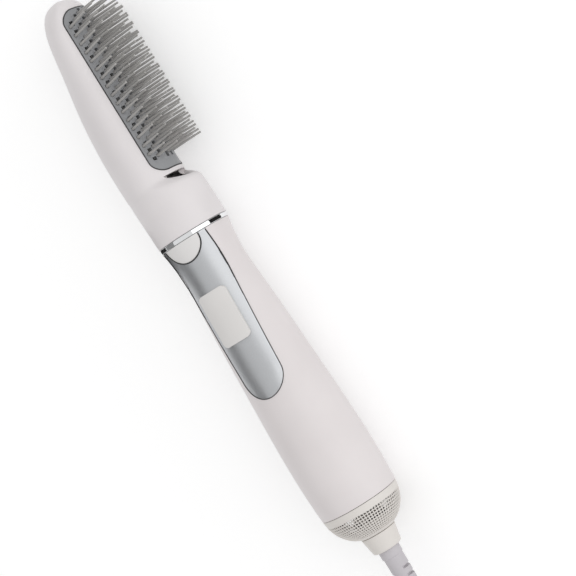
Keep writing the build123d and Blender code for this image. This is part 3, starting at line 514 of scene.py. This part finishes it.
def pressed_board(name, light, dark):
    """Pressed fibre board: short flecks between two browns, dull, a little rough."""
    paint, nodes, links, shader, place = new_paint(name)
    stretch = nodes.new("ShaderNodeMapping")
    stretch.inputs["Scale"].default_value = (1.0, 0.25, 1.0)
    fleck = nodes.new("ShaderNodeTexVoronoi")
    fleck.inputs["Scale"].default_value = 1400.0
    tone = two_tones(nodes, 0.2, 0.9, dark, light)
    bump = nodes.new("ShaderNodeBump")
    bump.inputs["Strength"].default_value = 0.3
    bump.inputs["Distance"].default_value = 0.0001
    links.new(place.outputs["Object"], stretch.inputs["Vector"])
    links.new(stretch.outputs[0], fleck.inputs["Vector"])
    links.new(fleck.outputs["Distance"], tone.inputs["Fac"])
    links.new(tone.outputs["Color"], shader.inputs["Base Color"])
    links.new(fleck.outputs["Distance"], bump.inputs["Height"])
    links.new(bump.outputs["Normal"], shader.inputs["Normal"])
    shader.inputs["Roughness"].default_value = 0.7
    return paint


give_finish(pressed_board("brown_baffle_board", (0.16, 0.11, 0.05), (0.05, 0.035, 0.018)), "vent_baffle")
give_finish(pressed_board("brown_circuit_board", (0.20, 0.13, 0.05), (0.13, 0.08, 0.03)), "circuit_board")
give_finish(pressed_board("pressed_mica", (0.50, 0.42, 0.28), (0.34, 0.28, 0.18)),
            "mica_sleeve", "mica_board_upright", "mica_board_flat")


def plain_metal(name, light, dark, gloss, streak):
    """Bare metal: a fine streak between two shades that also breaks up its gloss."""
    paint, nodes, links, shader, place = new_paint(name)
    stretch = nodes.new("ShaderNodeMapping")
    stretch.inputs["Scale"].default_value = streak
    lines = nodes.new("ShaderNodeTexNoise")
    lines.inputs["Scale"].default_value = 900.0
    lines.inputs["Detail"].default_value = 3.0
    tone = two_tones(nodes, 0.3, 0.7, dark, light)
    sheen = nodes.new("ShaderNodeMapRange")
    sheen.inputs["To Min"].default_value = gloss * 0.85
    sheen.inputs["To Max"].default_value = gloss * 1.2
    links.new(place.outputs["Object"], stretch.inputs["Vector"])
    links.new(stretch.outputs[0], lines.inputs["Vector"])
    links.new(lines.outputs["Fac"], tone.inputs["Fac"])
    links.new(tone.outputs["Color"], shader.inputs["Base Color"])
    links.new(lines.outputs["Fac"], sheen.inputs["Value"])
    links.new(sheen.outputs["Result"], shader.inputs["Roughness"])
    shader.inputs["Metallic"].default_value = 1.0
    return paint


plain_steel = plain_metal("plain_steel", (0.56, 0.56, 0.57), (0.46, 0.46, 0.47), 0.3, (0.1, 1, 1))
give_finish(plain_steel, "head_screws", "motor_shaft", "motor_can", "thermal_fuse", "clamp_screws")

# ---- Chrome ring -------------------------------------------------------------------------------
# A plated band round the joint of head and body. It is polished to a mirror, slightly crowned,
# with a small radius at each edge, and it stays with the body.
def turned(profile, steps=120):
    """Turns a closed outline of (place along X, radius) about the long axis."""
    work = bmesh.new()
    rings = [[work.verts.new((x, axis_y + radius * math.cos(math.tau * k / steps),
                              axis_z + radius * math.sin(math.tau * k / steps)))
              for x, radius in profile] for k in range(steps)]
    count = len(profile)
    for now, after in zip(rings, rings[1:] + rings[:1]):
        for k in range(count):
            work.faces.new((now[k], now[(k + 1) % count], after[(k + 1) % count], after[k]))
    bmesh.ops.recalc_face_normals(work, faces=work.faces)
    mesh = bpy.data.meshes.new("turned")
    work.to_mesh(mesh)
    work.free()
    return mesh


ring_half = (ring_high.x - ring_low.x) / 2
ring_radius = (ring_high.z - ring_low.z) / 2
ring_wall = 0.00215
ring_edge = 0.0003
ring_edge_fall = 0.00042
ring_crown = 0.00048
edge_steps = 4
ring_profile = [(ring_x - ring_half, ring_radius - ring_wall)]
for step in range(edge_steps + 1):
    angle = math.radians(90 * step / edge_steps)
    ring_profile.append((ring_x - ring_half + ring_edge * (1 - math.cos(angle)),
                         ring_radius - ring_edge_fall + ring_edge * math.sin(angle)))
for share in (-0.5, 0, 0.5):
    ring_profile.append((ring_x + ring_half * share, ring_radius - ring_crown * share**2))
for step in range(edge_steps + 1):
    angle = math.radians(90 - 90 * step / edge_steps)
    ring_profile.append((ring_x + ring_half - ring_edge * (1 - math.cos(angle)),
                         ring_radius - ring_edge_fall + ring_edge * math.sin(angle)))
ring_profile.append((ring_x + ring_half, ring_radius - ring_wall))
chrome = plain_metal("mirror_chrome", (0.86, 0.87, 0.88), (0.83, 0.84, 0.85), 0.05, (1, 1, 1))
chrome_band = new_piece("chrome_band", turned(ring_profile, 180), chrome, 60)
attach(chrome_band, "root")
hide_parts("chrome_ring")

# ---- Handle shell ------------------------------------------------------------------------------
# The body's white tube, moulded in the same plastic as the head. The control panel drops into a
# bed in its top, and a black strip along the joint round the panel is painted shade for the
# shadowed gap there.
handle_white = moulded_plastic("satin_white_handle", (0.79, 0.745, 0.745), (0.765, 0.72, 0.72), 0.38)
handle_skin = softened_skin("handle_shell", "handle_moulding", handle_white, 0.00015)

# ---- Control panel -----------------------------------------------------------------------------
# A thin plastic panel, sprayed with a silver metallic lacquer that is full of fine bright
# flakes. It lies flush in the handle, and its lower end is round.
silver, nodes, links, shader, place = new_paint("silver_lacquer")
flake = nodes.new("ShaderNodeTexVoronoi")
flake.inputs["Scale"].default_value = 5200.0
tone = two_tones(nodes, 0.1, 0.9, (0.50, 0.51, 0.525), (0.60, 0.61, 0.625))
tilt = nodes.new("ShaderNodeBump")
tilt.inputs["Strength"].default_value = 0.06
tilt.inputs["Distance"].default_value = 0.0001
links.new(place.outputs["Object"], flake.inputs["Vector"])
links.new(flake.outputs["Distance"], tone.inputs["Fac"])
links.new(tone.outputs["Color"], shader.inputs["Base Color"])
links.new(flake.outputs["Distance"], tilt.inputs["Height"])
links.new(tilt.outputs["Normal"], shader.inputs["Normal"])
shader.inputs["Metallic"].default_value = 1.0
shader.inputs["Roughness"].default_value = 0.40
panel_skin = softened_skin("control_panel", "silver_panel_skin", silver, 0.0001)

panel_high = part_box("control_panel")[1]
# The black strip along the joint round the panel is painted shade that stands in for the shadowed gap
# between panel and handle.
panel_end_radius = 0.0119
panel_half_width = 0.0142
panel_start = ring_x - 0.005
round_place = panel_high.x - panel_end_radius
start_place = ring_x + ring_half + 0.0008
joint_middle = 0.00012
drop_height = 0.08
side_steps, end_steps = 40, 24
panel_line = []
for step in range(side_steps + 1):
    x = start_place + (round_place - start_place) * step / side_steps
    along = (x - panel_start) / (round_place - panel_start)
    panel_line.append((x, panel_half_width + (panel_end_radius - panel_half_width) * along + joint_middle))
panel_gap_shade_path = [Vector((x, axis_y - half, drop_height)) for x, half in panel_line]
for step in range(1, end_steps):
    angle = math.radians(-90 + 180 * step / end_steps)
    panel_gap_shade_path.append(Vector((round_place + (panel_end_radius + joint_middle) * math.cos(angle),
                             axis_y + (panel_end_radius + joint_middle) * math.sin(angle), drop_height)))
panel_gap_shade_path += [Vector((x, axis_y + half, drop_height)) for x, half in reversed(panel_line)]
gap_shade_line("panel_gap_shade", panel_gap_shade_path, [panel_skin, handle_skin], Vector((0, 0, -1)),
          thickness=0.00045, body="root")

# ---- Release button ----------------------------------------------------------------------------
# The D-shaped button that frees the head, moulded in white in one piece with its latch arm. Its
# face is bare, and its well shows as a black line round it, which is painted shade for the
# shadowed gap. A wound steel spring stands under it on each side of the arm, and is pressed down
# with it.
button_white = moulded_plastic("glossy_white_button", (0.79, 0.775, 0.765), (0.76, 0.745, 0.735), 0.25)
button_skin = softened_skin("release_button", "release_button_skin", button_white, 0.0003)
# The black line in the well round the button is painted shade that stands in for the shadowed gap there.
button_radius = 0.0105
well_radius = button_radius + 0.0003
well_angle, well_steps = 88, 48
handle_start = ring_x + 0.0014
well_points = []
for step in range(well_steps + 1):
    angle = math.radians(-well_angle + 2 * well_angle * step / well_steps)
    well_points.append(Vector((handle_start + well_radius * math.cos(angle),
                               axis_y + well_radius * math.sin(angle), drop_height)))
gap_shade_line("button_well_shade", well_points, [panel_skin, handle_skin, button_skin], Vector((0, 0, -1)),
          thickness=0.0008, body="root")

spring_low, spring_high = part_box("button_springs")
wire_radius = 0.0002
coil_radius = (spring_high.x - spring_low.x) / 2 - wire_radius
spring_height = spring_high.z - spring_low.z
spring_sizes = {"Turns": 2.0, "Coil Radius": coil_radius, "Height": spring_height - 2 * wire_radius,
                "Wire Radius": wire_radius}
tree, given, result = new_tree("wound_spring", spring_sizes)
link = tree.links.new
coil = tree.nodes.new("GeometryNodeCurveSpiral")
coil.inputs["Resolution"].default_value = 20
link(given.outputs["Turns"], coil.inputs["Rotations"])
link(given.outputs["Coil Radius"], coil.inputs["Start Radius"])
link(given.outputs["Coil Radius"], coil.inputs["End Radius"])
link(given.outputs["Height"], coil.inputs["Height"])
wire = tree.nodes.new("GeometryNodeCurvePrimitiveCircle")
wire.inputs["Resolution"].default_value = 8
link(given.outputs["Wire Radius"], wire.inputs["Radius"])
stood = tree.nodes.new("GeometryNodeInstanceOnPoints")
link(given.outputs["Geometry"], stood.inputs["Points"])
link(coil.outputs[0], stood.inputs["Instance"])
wound = tree.nodes.new("GeometryNodeRealizeInstances")
link(stood.outputs[0], wound.inputs[0])
swept = tree.nodes.new("GeometryNodeCurveToMesh")
swept.inputs["Fill Caps"].default_value = True
link(wound.outputs[0], swept.inputs["Curve"])
link(wire.outputs[0], swept.inputs["Profile Curve"])
end_tree(tree, given, result, swept)
seat_mesh = bpy.data.meshes.new("spring_seats")
seat_mesh.from_pydata([((spring_low.x + spring_high.x) / 2, y, spring_low.z + wire_radius)
                       for y in (spring_low.y + coil_radius + wire_radius,
                                 spring_high.y - coil_radius - wire_radius)], [], [])
seat_holder = bpy.data.objects.new("spring_seats", seat_mesh)
scene.collection.objects.link(seat_holder)
springs = new_piece("wound_springs", grown(seat_holder, tree, {**spring_sizes, "Material": plain_steel}),
                    plain_steel, 60)
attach(springs, "root")
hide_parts("button_springs")
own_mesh(springs)

# ---- Slide switch ------------------------------------------------------------------------------
# An off-white cap rides on the panel over its slider and switch body. It has soft corners and
# edges, and the switch below is plain black.
switch_white = moulded_plastic("off_white_switch", (0.77, 0.75, 0.735), (0.745, 0.725, 0.71), 0.42)
softened_skin("switch_cap", "switch_cap_skin", switch_white, 0.0006)
plain_black = moulded_plastic("plain_black_plastic", (0.03, 0.03, 0.03), (0.02, 0.02, 0.02), 0.4)
give_finish(plain_black, "switch_slider", "switch_body", "impeller", "swivel_retainer", "cord_clamp")

# ---- Heater and motor --------------------------------------------------------------------------
# Resistance wire is wound on two crossed mica boards, which stand in a mica sleeve with the
# thermostat. The motor behind them drives the fan, and its shaft turns in brass bearings.
give_finish(plain_metal("oxidised_wire", (0.34, 0.29, 0.25), (0.22, 0.18, 0.16), 0.45, (1, 1, 1)),
            "heater_coil", "thermostat")
brass = plain_metal("plain_brass", (0.72, 0.56, 0.27), (0.62, 0.47, 0.21), 0.24, (0.1, 1, 1))
give_finish(brass, "motor_bearings", "plug_pins")

# ---- Intake filter -----------------------------------------------------------------------------
# A disc of fine mesh, woven from brown-grey thread and held behind the cap's grille. It keeps
# hair and dust out of the fan.
def woven_cloth(name, light, dark, spacing, ways):
    """Woven threads: two sets of fine bands that cross, with a painted highlight along the top of
    each thread and painted shade between the threads.
    """
    paint, nodes, links, shader, place = new_paint(name)
    threads = nodes.new("ShaderNodeMath")
    threads.operation = "MAXIMUM"
    for socket, way in enumerate(ways):
        band = nodes.new("ShaderNodeTexWave")
        band.bands_direction = way
        band.inputs["Scale"].default_value = spacing
        links.new(place.outputs["Object"], band.inputs["Vector"])
        links.new(band.outputs["Fac"], threads.inputs[socket])
    # This ramp is painted light: pale along the top of each thread, dark in the painted shade between
    # threads.
    tone = two_tones(nodes, 0.5, 0.9, dark, light)
    relief = nodes.new("ShaderNodeBump")
    relief.inputs["Strength"].default_value = 0.4
    relief.inputs["Distance"].default_value = 0.0001
    links.new(threads.outputs[0], tone.inputs["Fac"])
    links.new(threads.outputs[0], relief.inputs["Height"])
    links.new(tone.outputs["Color"], shader.inputs["Base Color"])
    links.new(relief.outputs["Normal"], shader.inputs["Normal"])
    shader.inputs["Roughness"].default_value = 0.8
    return paint


mesh_cloth = woven_cloth("fine_filter_mesh", (0.34, 0.29, 0.24), (0.16, 0.13, 0.10), 500.0, ("Y", "Z"))
give_finish(mesh_cloth, "intake_filter")

# ---- End cap -----------------------------------------------------------------------------------
# A cream dome that closes the body. Behind a plain band its wall is a fine grille of square
# holes, ribs one way and hoops the other, and a nose ring carries the swivel.
cap_cream = moulded_plastic("satin_cream_cap", (0.77, 0.735, 0.70), (0.74, 0.705, 0.67), 0.42)
cap_low, cap_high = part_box("end_cap")
seam = ring_x + 0.1603
dome_points = ((seam, 0.0217), (ring_x + 0.165, 0.0209), (ring_x + 0.1705, 0.0186),
               (ring_x + 0.1752, 0.0146), (cap_high.x, 0.0099))


def dome_radius(x):
    """The dome's outside radius, on a smooth curve through its points."""
    k = max(k for k in range(len(dome_points) - 1) if dome_points[k][0] <= x + 1e-9)
    (x0, r0), (x1, r1) = dome_points[k], dome_points[k + 1]
    before, after = dome_points[max(k - 1, 0)], dome_points[min(k + 2, len(dome_points) - 1)]
    slope_in = (r1 - before[1]) / (x1 - before[0]) * (x1 - x0)
    slope_out = (after[1] - r0) / (after[0] - x0) * (x1 - x0)
    t = (x - x0) / (x1 - x0)
    return (r0 * (1 + 2 * t) * (1 - t)**2 + slope_in * t * (1 - t)**2
            + r1 * t * t * (3 - 2 * t) - slope_out * t * t * (1 - t))


cap_wall = 0.0016
bar_depth = 0.0006
band_floor = seam + 0.0015
collar_bore, collar_outside, band_inside = 0.01745, 0.01885, 0.0203
neck_bore, neck_seat = 0.0081, 0.0095
seat_start, seat_end = ring_x + 0.1715, ring_x + 0.1758
grille_start, grille_end = ring_x + 0.1640, ring_x + 0.1768
band = [(seam, dome_radius(seam) - 0.0002), (seam + 0.0003, dome_radius(seam + 0.0003))]
band += [(x, dome_radius(x)) for x in (band_floor, seam + 0.0027, grille_start)]
band += [(grille_start, dome_radius(grille_start) - cap_wall), (seam, dome_radius(seam) - cap_wall)]
nose = [(grille_end, dome_radius(grille_end)), (ring_x + 0.1776, dome_radius(ring_x + 0.1776)),
        (cap_high.x - 0.0002, 0.0103), (cap_high.x, 0.0099), (cap_high.x, neck_bore),
        (seat_start, neck_bore), (seat_start, neck_seat), (seat_end, neck_seat),
        (grille_end - 0.0004, dome_radius(grille_end) - cap_wall)]
collar = [(cap_low.x, collar_bore), (cap_low.x, collar_outside), (seam, collar_outside),
          (seam, band_inside), (band_floor, band_inside), (band_floor, collar_bore)]

outline = bpy.data.curves.new("grille_outline", "CURVE")
outline.dimensions = "3D"
path = outline.splines.new("POLY")
stations = 18
path.points.add(stations)
for k, point in enumerate(path.points):
    x = grille_start + (grille_end - grille_start) * k / stations
    point.co = (x, dome_radius(x) - bar_depth / 2, 0, 1)
grille_sizes = {"Ribs": 76, "Hoops": 11, "Bar Width": 0.00046, "Bar Depth": bar_depth}
tree, given, result = new_tree("cap_grille", grille_sizes)
link = tree.links.new
bar = tree.nodes.new("GeometryNodeCurvePrimitiveQuadrilateral")
link(given.outputs["Bar Width"], bar.inputs["Width"])
link(given.outputs["Bar Depth"], bar.inputs["Height"])
places = tree.nodes.new("GeometryNodePoints")
link(given.outputs["Ribs"], places.inputs["Count"])
number = tree.nodes.new("GeometryNodeInputIndex")
share = tree.nodes.new("ShaderNodeMath")
share.operation = "DIVIDE"
link(number.outputs[0], share.inputs[0])
link(given.outputs["Ribs"], share.inputs[1])
turn = tree.nodes.new("ShaderNodeMath")
turn.operation = "MULTIPLY"
turn.inputs[1].default_value = math.tau
link(share.outputs[0], turn.inputs[0])
about = tree.nodes.new("ShaderNodeCombineXYZ")
link(turn.outputs[0], about.inputs["X"])
ribs = tree.nodes.new("GeometryNodeInstanceOnPoints")
link(places.outputs[0], ribs.inputs["Points"])
link(given.outputs["Geometry"], ribs.inputs["Instance"])
link(about.outputs[0], ribs.inputs["Rotation"])
rib_lines = tree.nodes.new("GeometryNodeRealizeInstances")
link(ribs.outputs[0], rib_lines.inputs[0])
evenly = tree.nodes.new("GeometryNodeResampleCurve")
link(given.outputs["Geometry"], evenly.inputs["Curve"])
link(given.outputs["Hoops"], evenly.inputs["Count"])
hoop_places = tree.nodes.new("GeometryNodeCurveToPoints")
hoop_places.mode = "EVALUATED"
link(evenly.outputs[0], hoop_places.inputs[0])
where = tree.nodes.new("GeometryNodeInputPosition")
parts = tree.nodes.new("ShaderNodeSeparateXYZ")
link(where.outputs[0], parts.inputs[0])
hoop_ring = tree.nodes.new("GeometryNodeCurvePrimitiveCircle")
hoop_ring.inputs["Resolution"].default_value = 152
hoop_ring.inputs["Radius"].default_value = 1.0
upright = tree.nodes.new("GeometryNodeTransform")
upright.inputs["Rotation"].default_value = (0, math.pi / 2, 0)
link(hoop_ring.outputs[0], upright.inputs["Geometry"])
size = tree.nodes.new("ShaderNodeCombineXYZ")
size.inputs["X"].default_value = 1.0
link(parts.outputs["Y"], size.inputs["Y"])
link(parts.outputs["Y"], size.inputs["Z"])
centred = tree.nodes.new("ShaderNodeCombineXYZ")
link(parts.outputs["X"], centred.inputs["X"])
kept = tree.nodes.new("GeometryNodeStoreNamedAttribute")
kept.data_type = "FLOAT_VECTOR"
kept.domain = "POINT"
kept.inputs["Name"].default_value = "hoop_size"
link(hoop_places.outputs[0], kept.inputs["Geometry"])
link(size.outputs[0], kept.inputs["Value"])
on_axis = tree.nodes.new("GeometryNodeSetPosition")
link(kept.outputs[0], on_axis.inputs["Geometry"])
link(centred.outputs[0], on_axis.inputs["Position"])
hoop_size = tree.nodes.new("GeometryNodeInputNamedAttribute")
hoop_size.data_type = "FLOAT_VECTOR"
hoop_size.inputs["Name"].default_value = "hoop_size"
hoops = tree.nodes.new("GeometryNodeInstanceOnPoints")
link(on_axis.outputs[0], hoops.inputs["Points"])
link(upright.outputs[0], hoops.inputs["Instance"])
link(hoop_size.outputs[0], hoops.inputs["Scale"])
hoop_lines = tree.nodes.new("GeometryNodeRealizeInstances")
link(hoops.outputs[0], hoop_lines.inputs[0])
lines = tree.nodes.new("GeometryNodeJoinGeometry")
link(rib_lines.outputs[0], lines.inputs[0])
link(hoop_lines.outputs[0], lines.inputs[0])
bars = tree.nodes.new("GeometryNodeCurveToMesh")
link(lines.outputs[0], bars.inputs["Curve"])
link(bar.outputs[0], bars.inputs["Profile Curve"])
end_tree(tree, given, result, bars)
outline_holder = bpy.data.objects.new("grille_outline", outline)
scene.collection.objects.link(outline_holder)
grille = grown(outline_holder, tree, {**grille_sizes, "Material": cap_cream})
grille.transform(Matrix.Translation((0, axis_y, axis_z)))
cap = bmesh.new()
cap.from_mesh(grille)
for profile in (band, nose, collar):
    cap.from_mesh(turned(profile, 152))
cap_mesh = bpy.data.meshes.new("end_cap_grille")
cap.to_mesh(cap_mesh)
cap.free()
cap_skin = new_piece("end_cap_grille", cap_mesh, cap_cream, 40)
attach(cap_skin, "root")
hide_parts("end_cap")

# ---- Swivel neck and strain relief -------------------------------------------------------------
# The neck turns in the cap's nose with the cord. It is cream like the cap, and grips a ribbed
# sleeve of soft pale rubber that stops the lead from kinking.
softened_skin("swivel_neck", "swivel_neck_skin", cap_cream, 0.0003)
boot_grey = moulded_plastic("pale_grey_boot", (0.60, 0.575, 0.60), (0.56, 0.535, 0.56), 0.5)
softened_skin("strain_relief", "strain_relief_skin", boot_grey, 0.00025)

# ---- Cord --------------------------------------------------------------------------------------
# A round two-core mains lead with a pale rubber jacket. It leaves the strain relief, comes down
# to the floor and is folded into a hank of eight runs a side, with the plug on its last stretch.
cord_radius = 0.00325
cord_width = 2 * cord_radius
relief_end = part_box("strain_relief")[1].x
hank_low, hank_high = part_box("cord_hank")
hank_base = hank_low.z
hank_line = (hank_low.y + hank_high.y) / 2 - axis_y
hank_half_width = (hank_high.y - hank_low.y) / 2
fold_start = hank_low.x + hank_half_width
fold_end = hank_high.x - hank_half_width
outer_fold = hank_half_width - cord_radius
inner_fold = outer_fold - cord_width
near_line = hank_line - outer_fold
first_layer = hank_base + 0.5 * cord_width
second_layer = hank_base + 1.5 * cord_width
lead_points = [
    (relief_end + 0.0003, 0.0, axis_z), (relief_end + 0.019, 0.0, axis_z - 0.0006),
    (relief_end + 0.038, -0.003, 0.0168), (relief_end + 0.058, -0.009, 0.009),
    (relief_end + 0.077, -0.0155, first_layer), (hank_low.x + 0.019, near_line, first_layer),
]
tail_points = [
    (fold_end, near_line, second_layer),
    (fold_end + 0.017, near_line + 0.0015, second_layer - 0.0005),
    (fold_end + 0.035, near_line + 0.010, second_layer - 0.0022),
    (fold_end + 0.052, near_line + 0.0125, 0.008),
]


def hank_points():
    """The turns start at the foot of the outer column, go up the inner one and come back down the
    outer one. At each left-hand fold the lead changes to its next place, the later turns first."""
    turns = [(outer_fold, 0), (inner_fold, 0), (inner_fold, 1), (inner_fold, 2), (inner_fold, 3),
             (outer_fold, 3), (outer_fold, 2), (outer_fold, 1)]
    change_starts = [0.7, 0.45, 0.45, 0.45, 0.25, 0.0, 0.0]
    change_length = 0.28
    fold_steps = 12
    run = fold_end - fold_start
    points = []
    for turn, (radius, layer) in enumerate(turns):
        height = hank_base + (layer + 0.5) * cord_width
        points += [(fold_start + run * share, hank_line - radius, height) for share in (0.2, 0.8)]
        if turn == len(turns) - 1:
            break
        for step in range(fold_steps):
            angle = math.pi * (step + 0.5) / fold_steps - math.pi / 2
            points.append((fold_end + radius * math.cos(angle),
                           hank_line + radius * math.sin(angle), height))
        points += [(fold_end - run * share, hank_line + radius, height) for share in (0.2, 0.8)]
        next_radius, next_layer = turns[turn + 1]
        for step in range(fold_steps):
            share = (step + 0.5) / fold_steps
            angle = math.pi * share + math.pi / 2
            moved = min(max((share - change_starts[turn]) / change_length, 0), 1)
            moved = moved * moved * (3 - 2 * moved)
            now = radius + (next_radius - radius) * moved
            rise = (next_layer - layer) * cord_width * moved
            points.append((fold_start + now * math.cos(angle), hank_line + now * math.sin(angle),
                           height + rise))
    return points


route = lead_points + hank_points() + tail_points
cord_curve = bpy.data.curves.new("mains_cord", "CURVE")
cord_curve.dimensions = "3D"
cord_curve.bevel_depth = cord_radius
cord_curve.bevel_resolution = 4
cord_curve.use_fill_caps = True
spline = cord_curve.splines.new("NURBS")
spline.points.add(len(route) - 1)
for point, (x, y, z) in zip(spline.points, route):
    point.co = (x, axis_y + y, z, 1)
spline.order_u = 3
spline.use_endpoint_u = True
spline.resolution_u = 5
mains_cord = bpy.data.objects.new("mains_cord", cord_curve)
scene.collection.objects.link(mains_cord)
cord_jacket = moulded_plastic("pale_cord_jacket", (0.66, 0.64, 0.66), (0.62, 0.60, 0.62), 0.42)
cord_curve.materials.append(cord_jacket)
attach(mains_cord, "root")
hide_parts("cord_lead", "cord_hank", "cord_tail")

# ---- Plug and tie ------------------------------------------------------------------------------
# The plug is moulded onto the cord in the same pale rubber, round two brass pins. A black woven
# strap goes round the middle of the hank and holds its runs together.
plug_skin = softened_skin("plug_body", "plug_moulding", cord_jacket, 0.001)
strap_cloth = woven_cloth("woven_tie_strap", (0.055, 0.055, 0.058), (0.02, 0.02, 0.021), 400.0,
                          ("X", "DIAGONAL"))
tie_skin = softened_skin("cord_tie", "tie_strap_skin", strap_cloth, 0.0003)
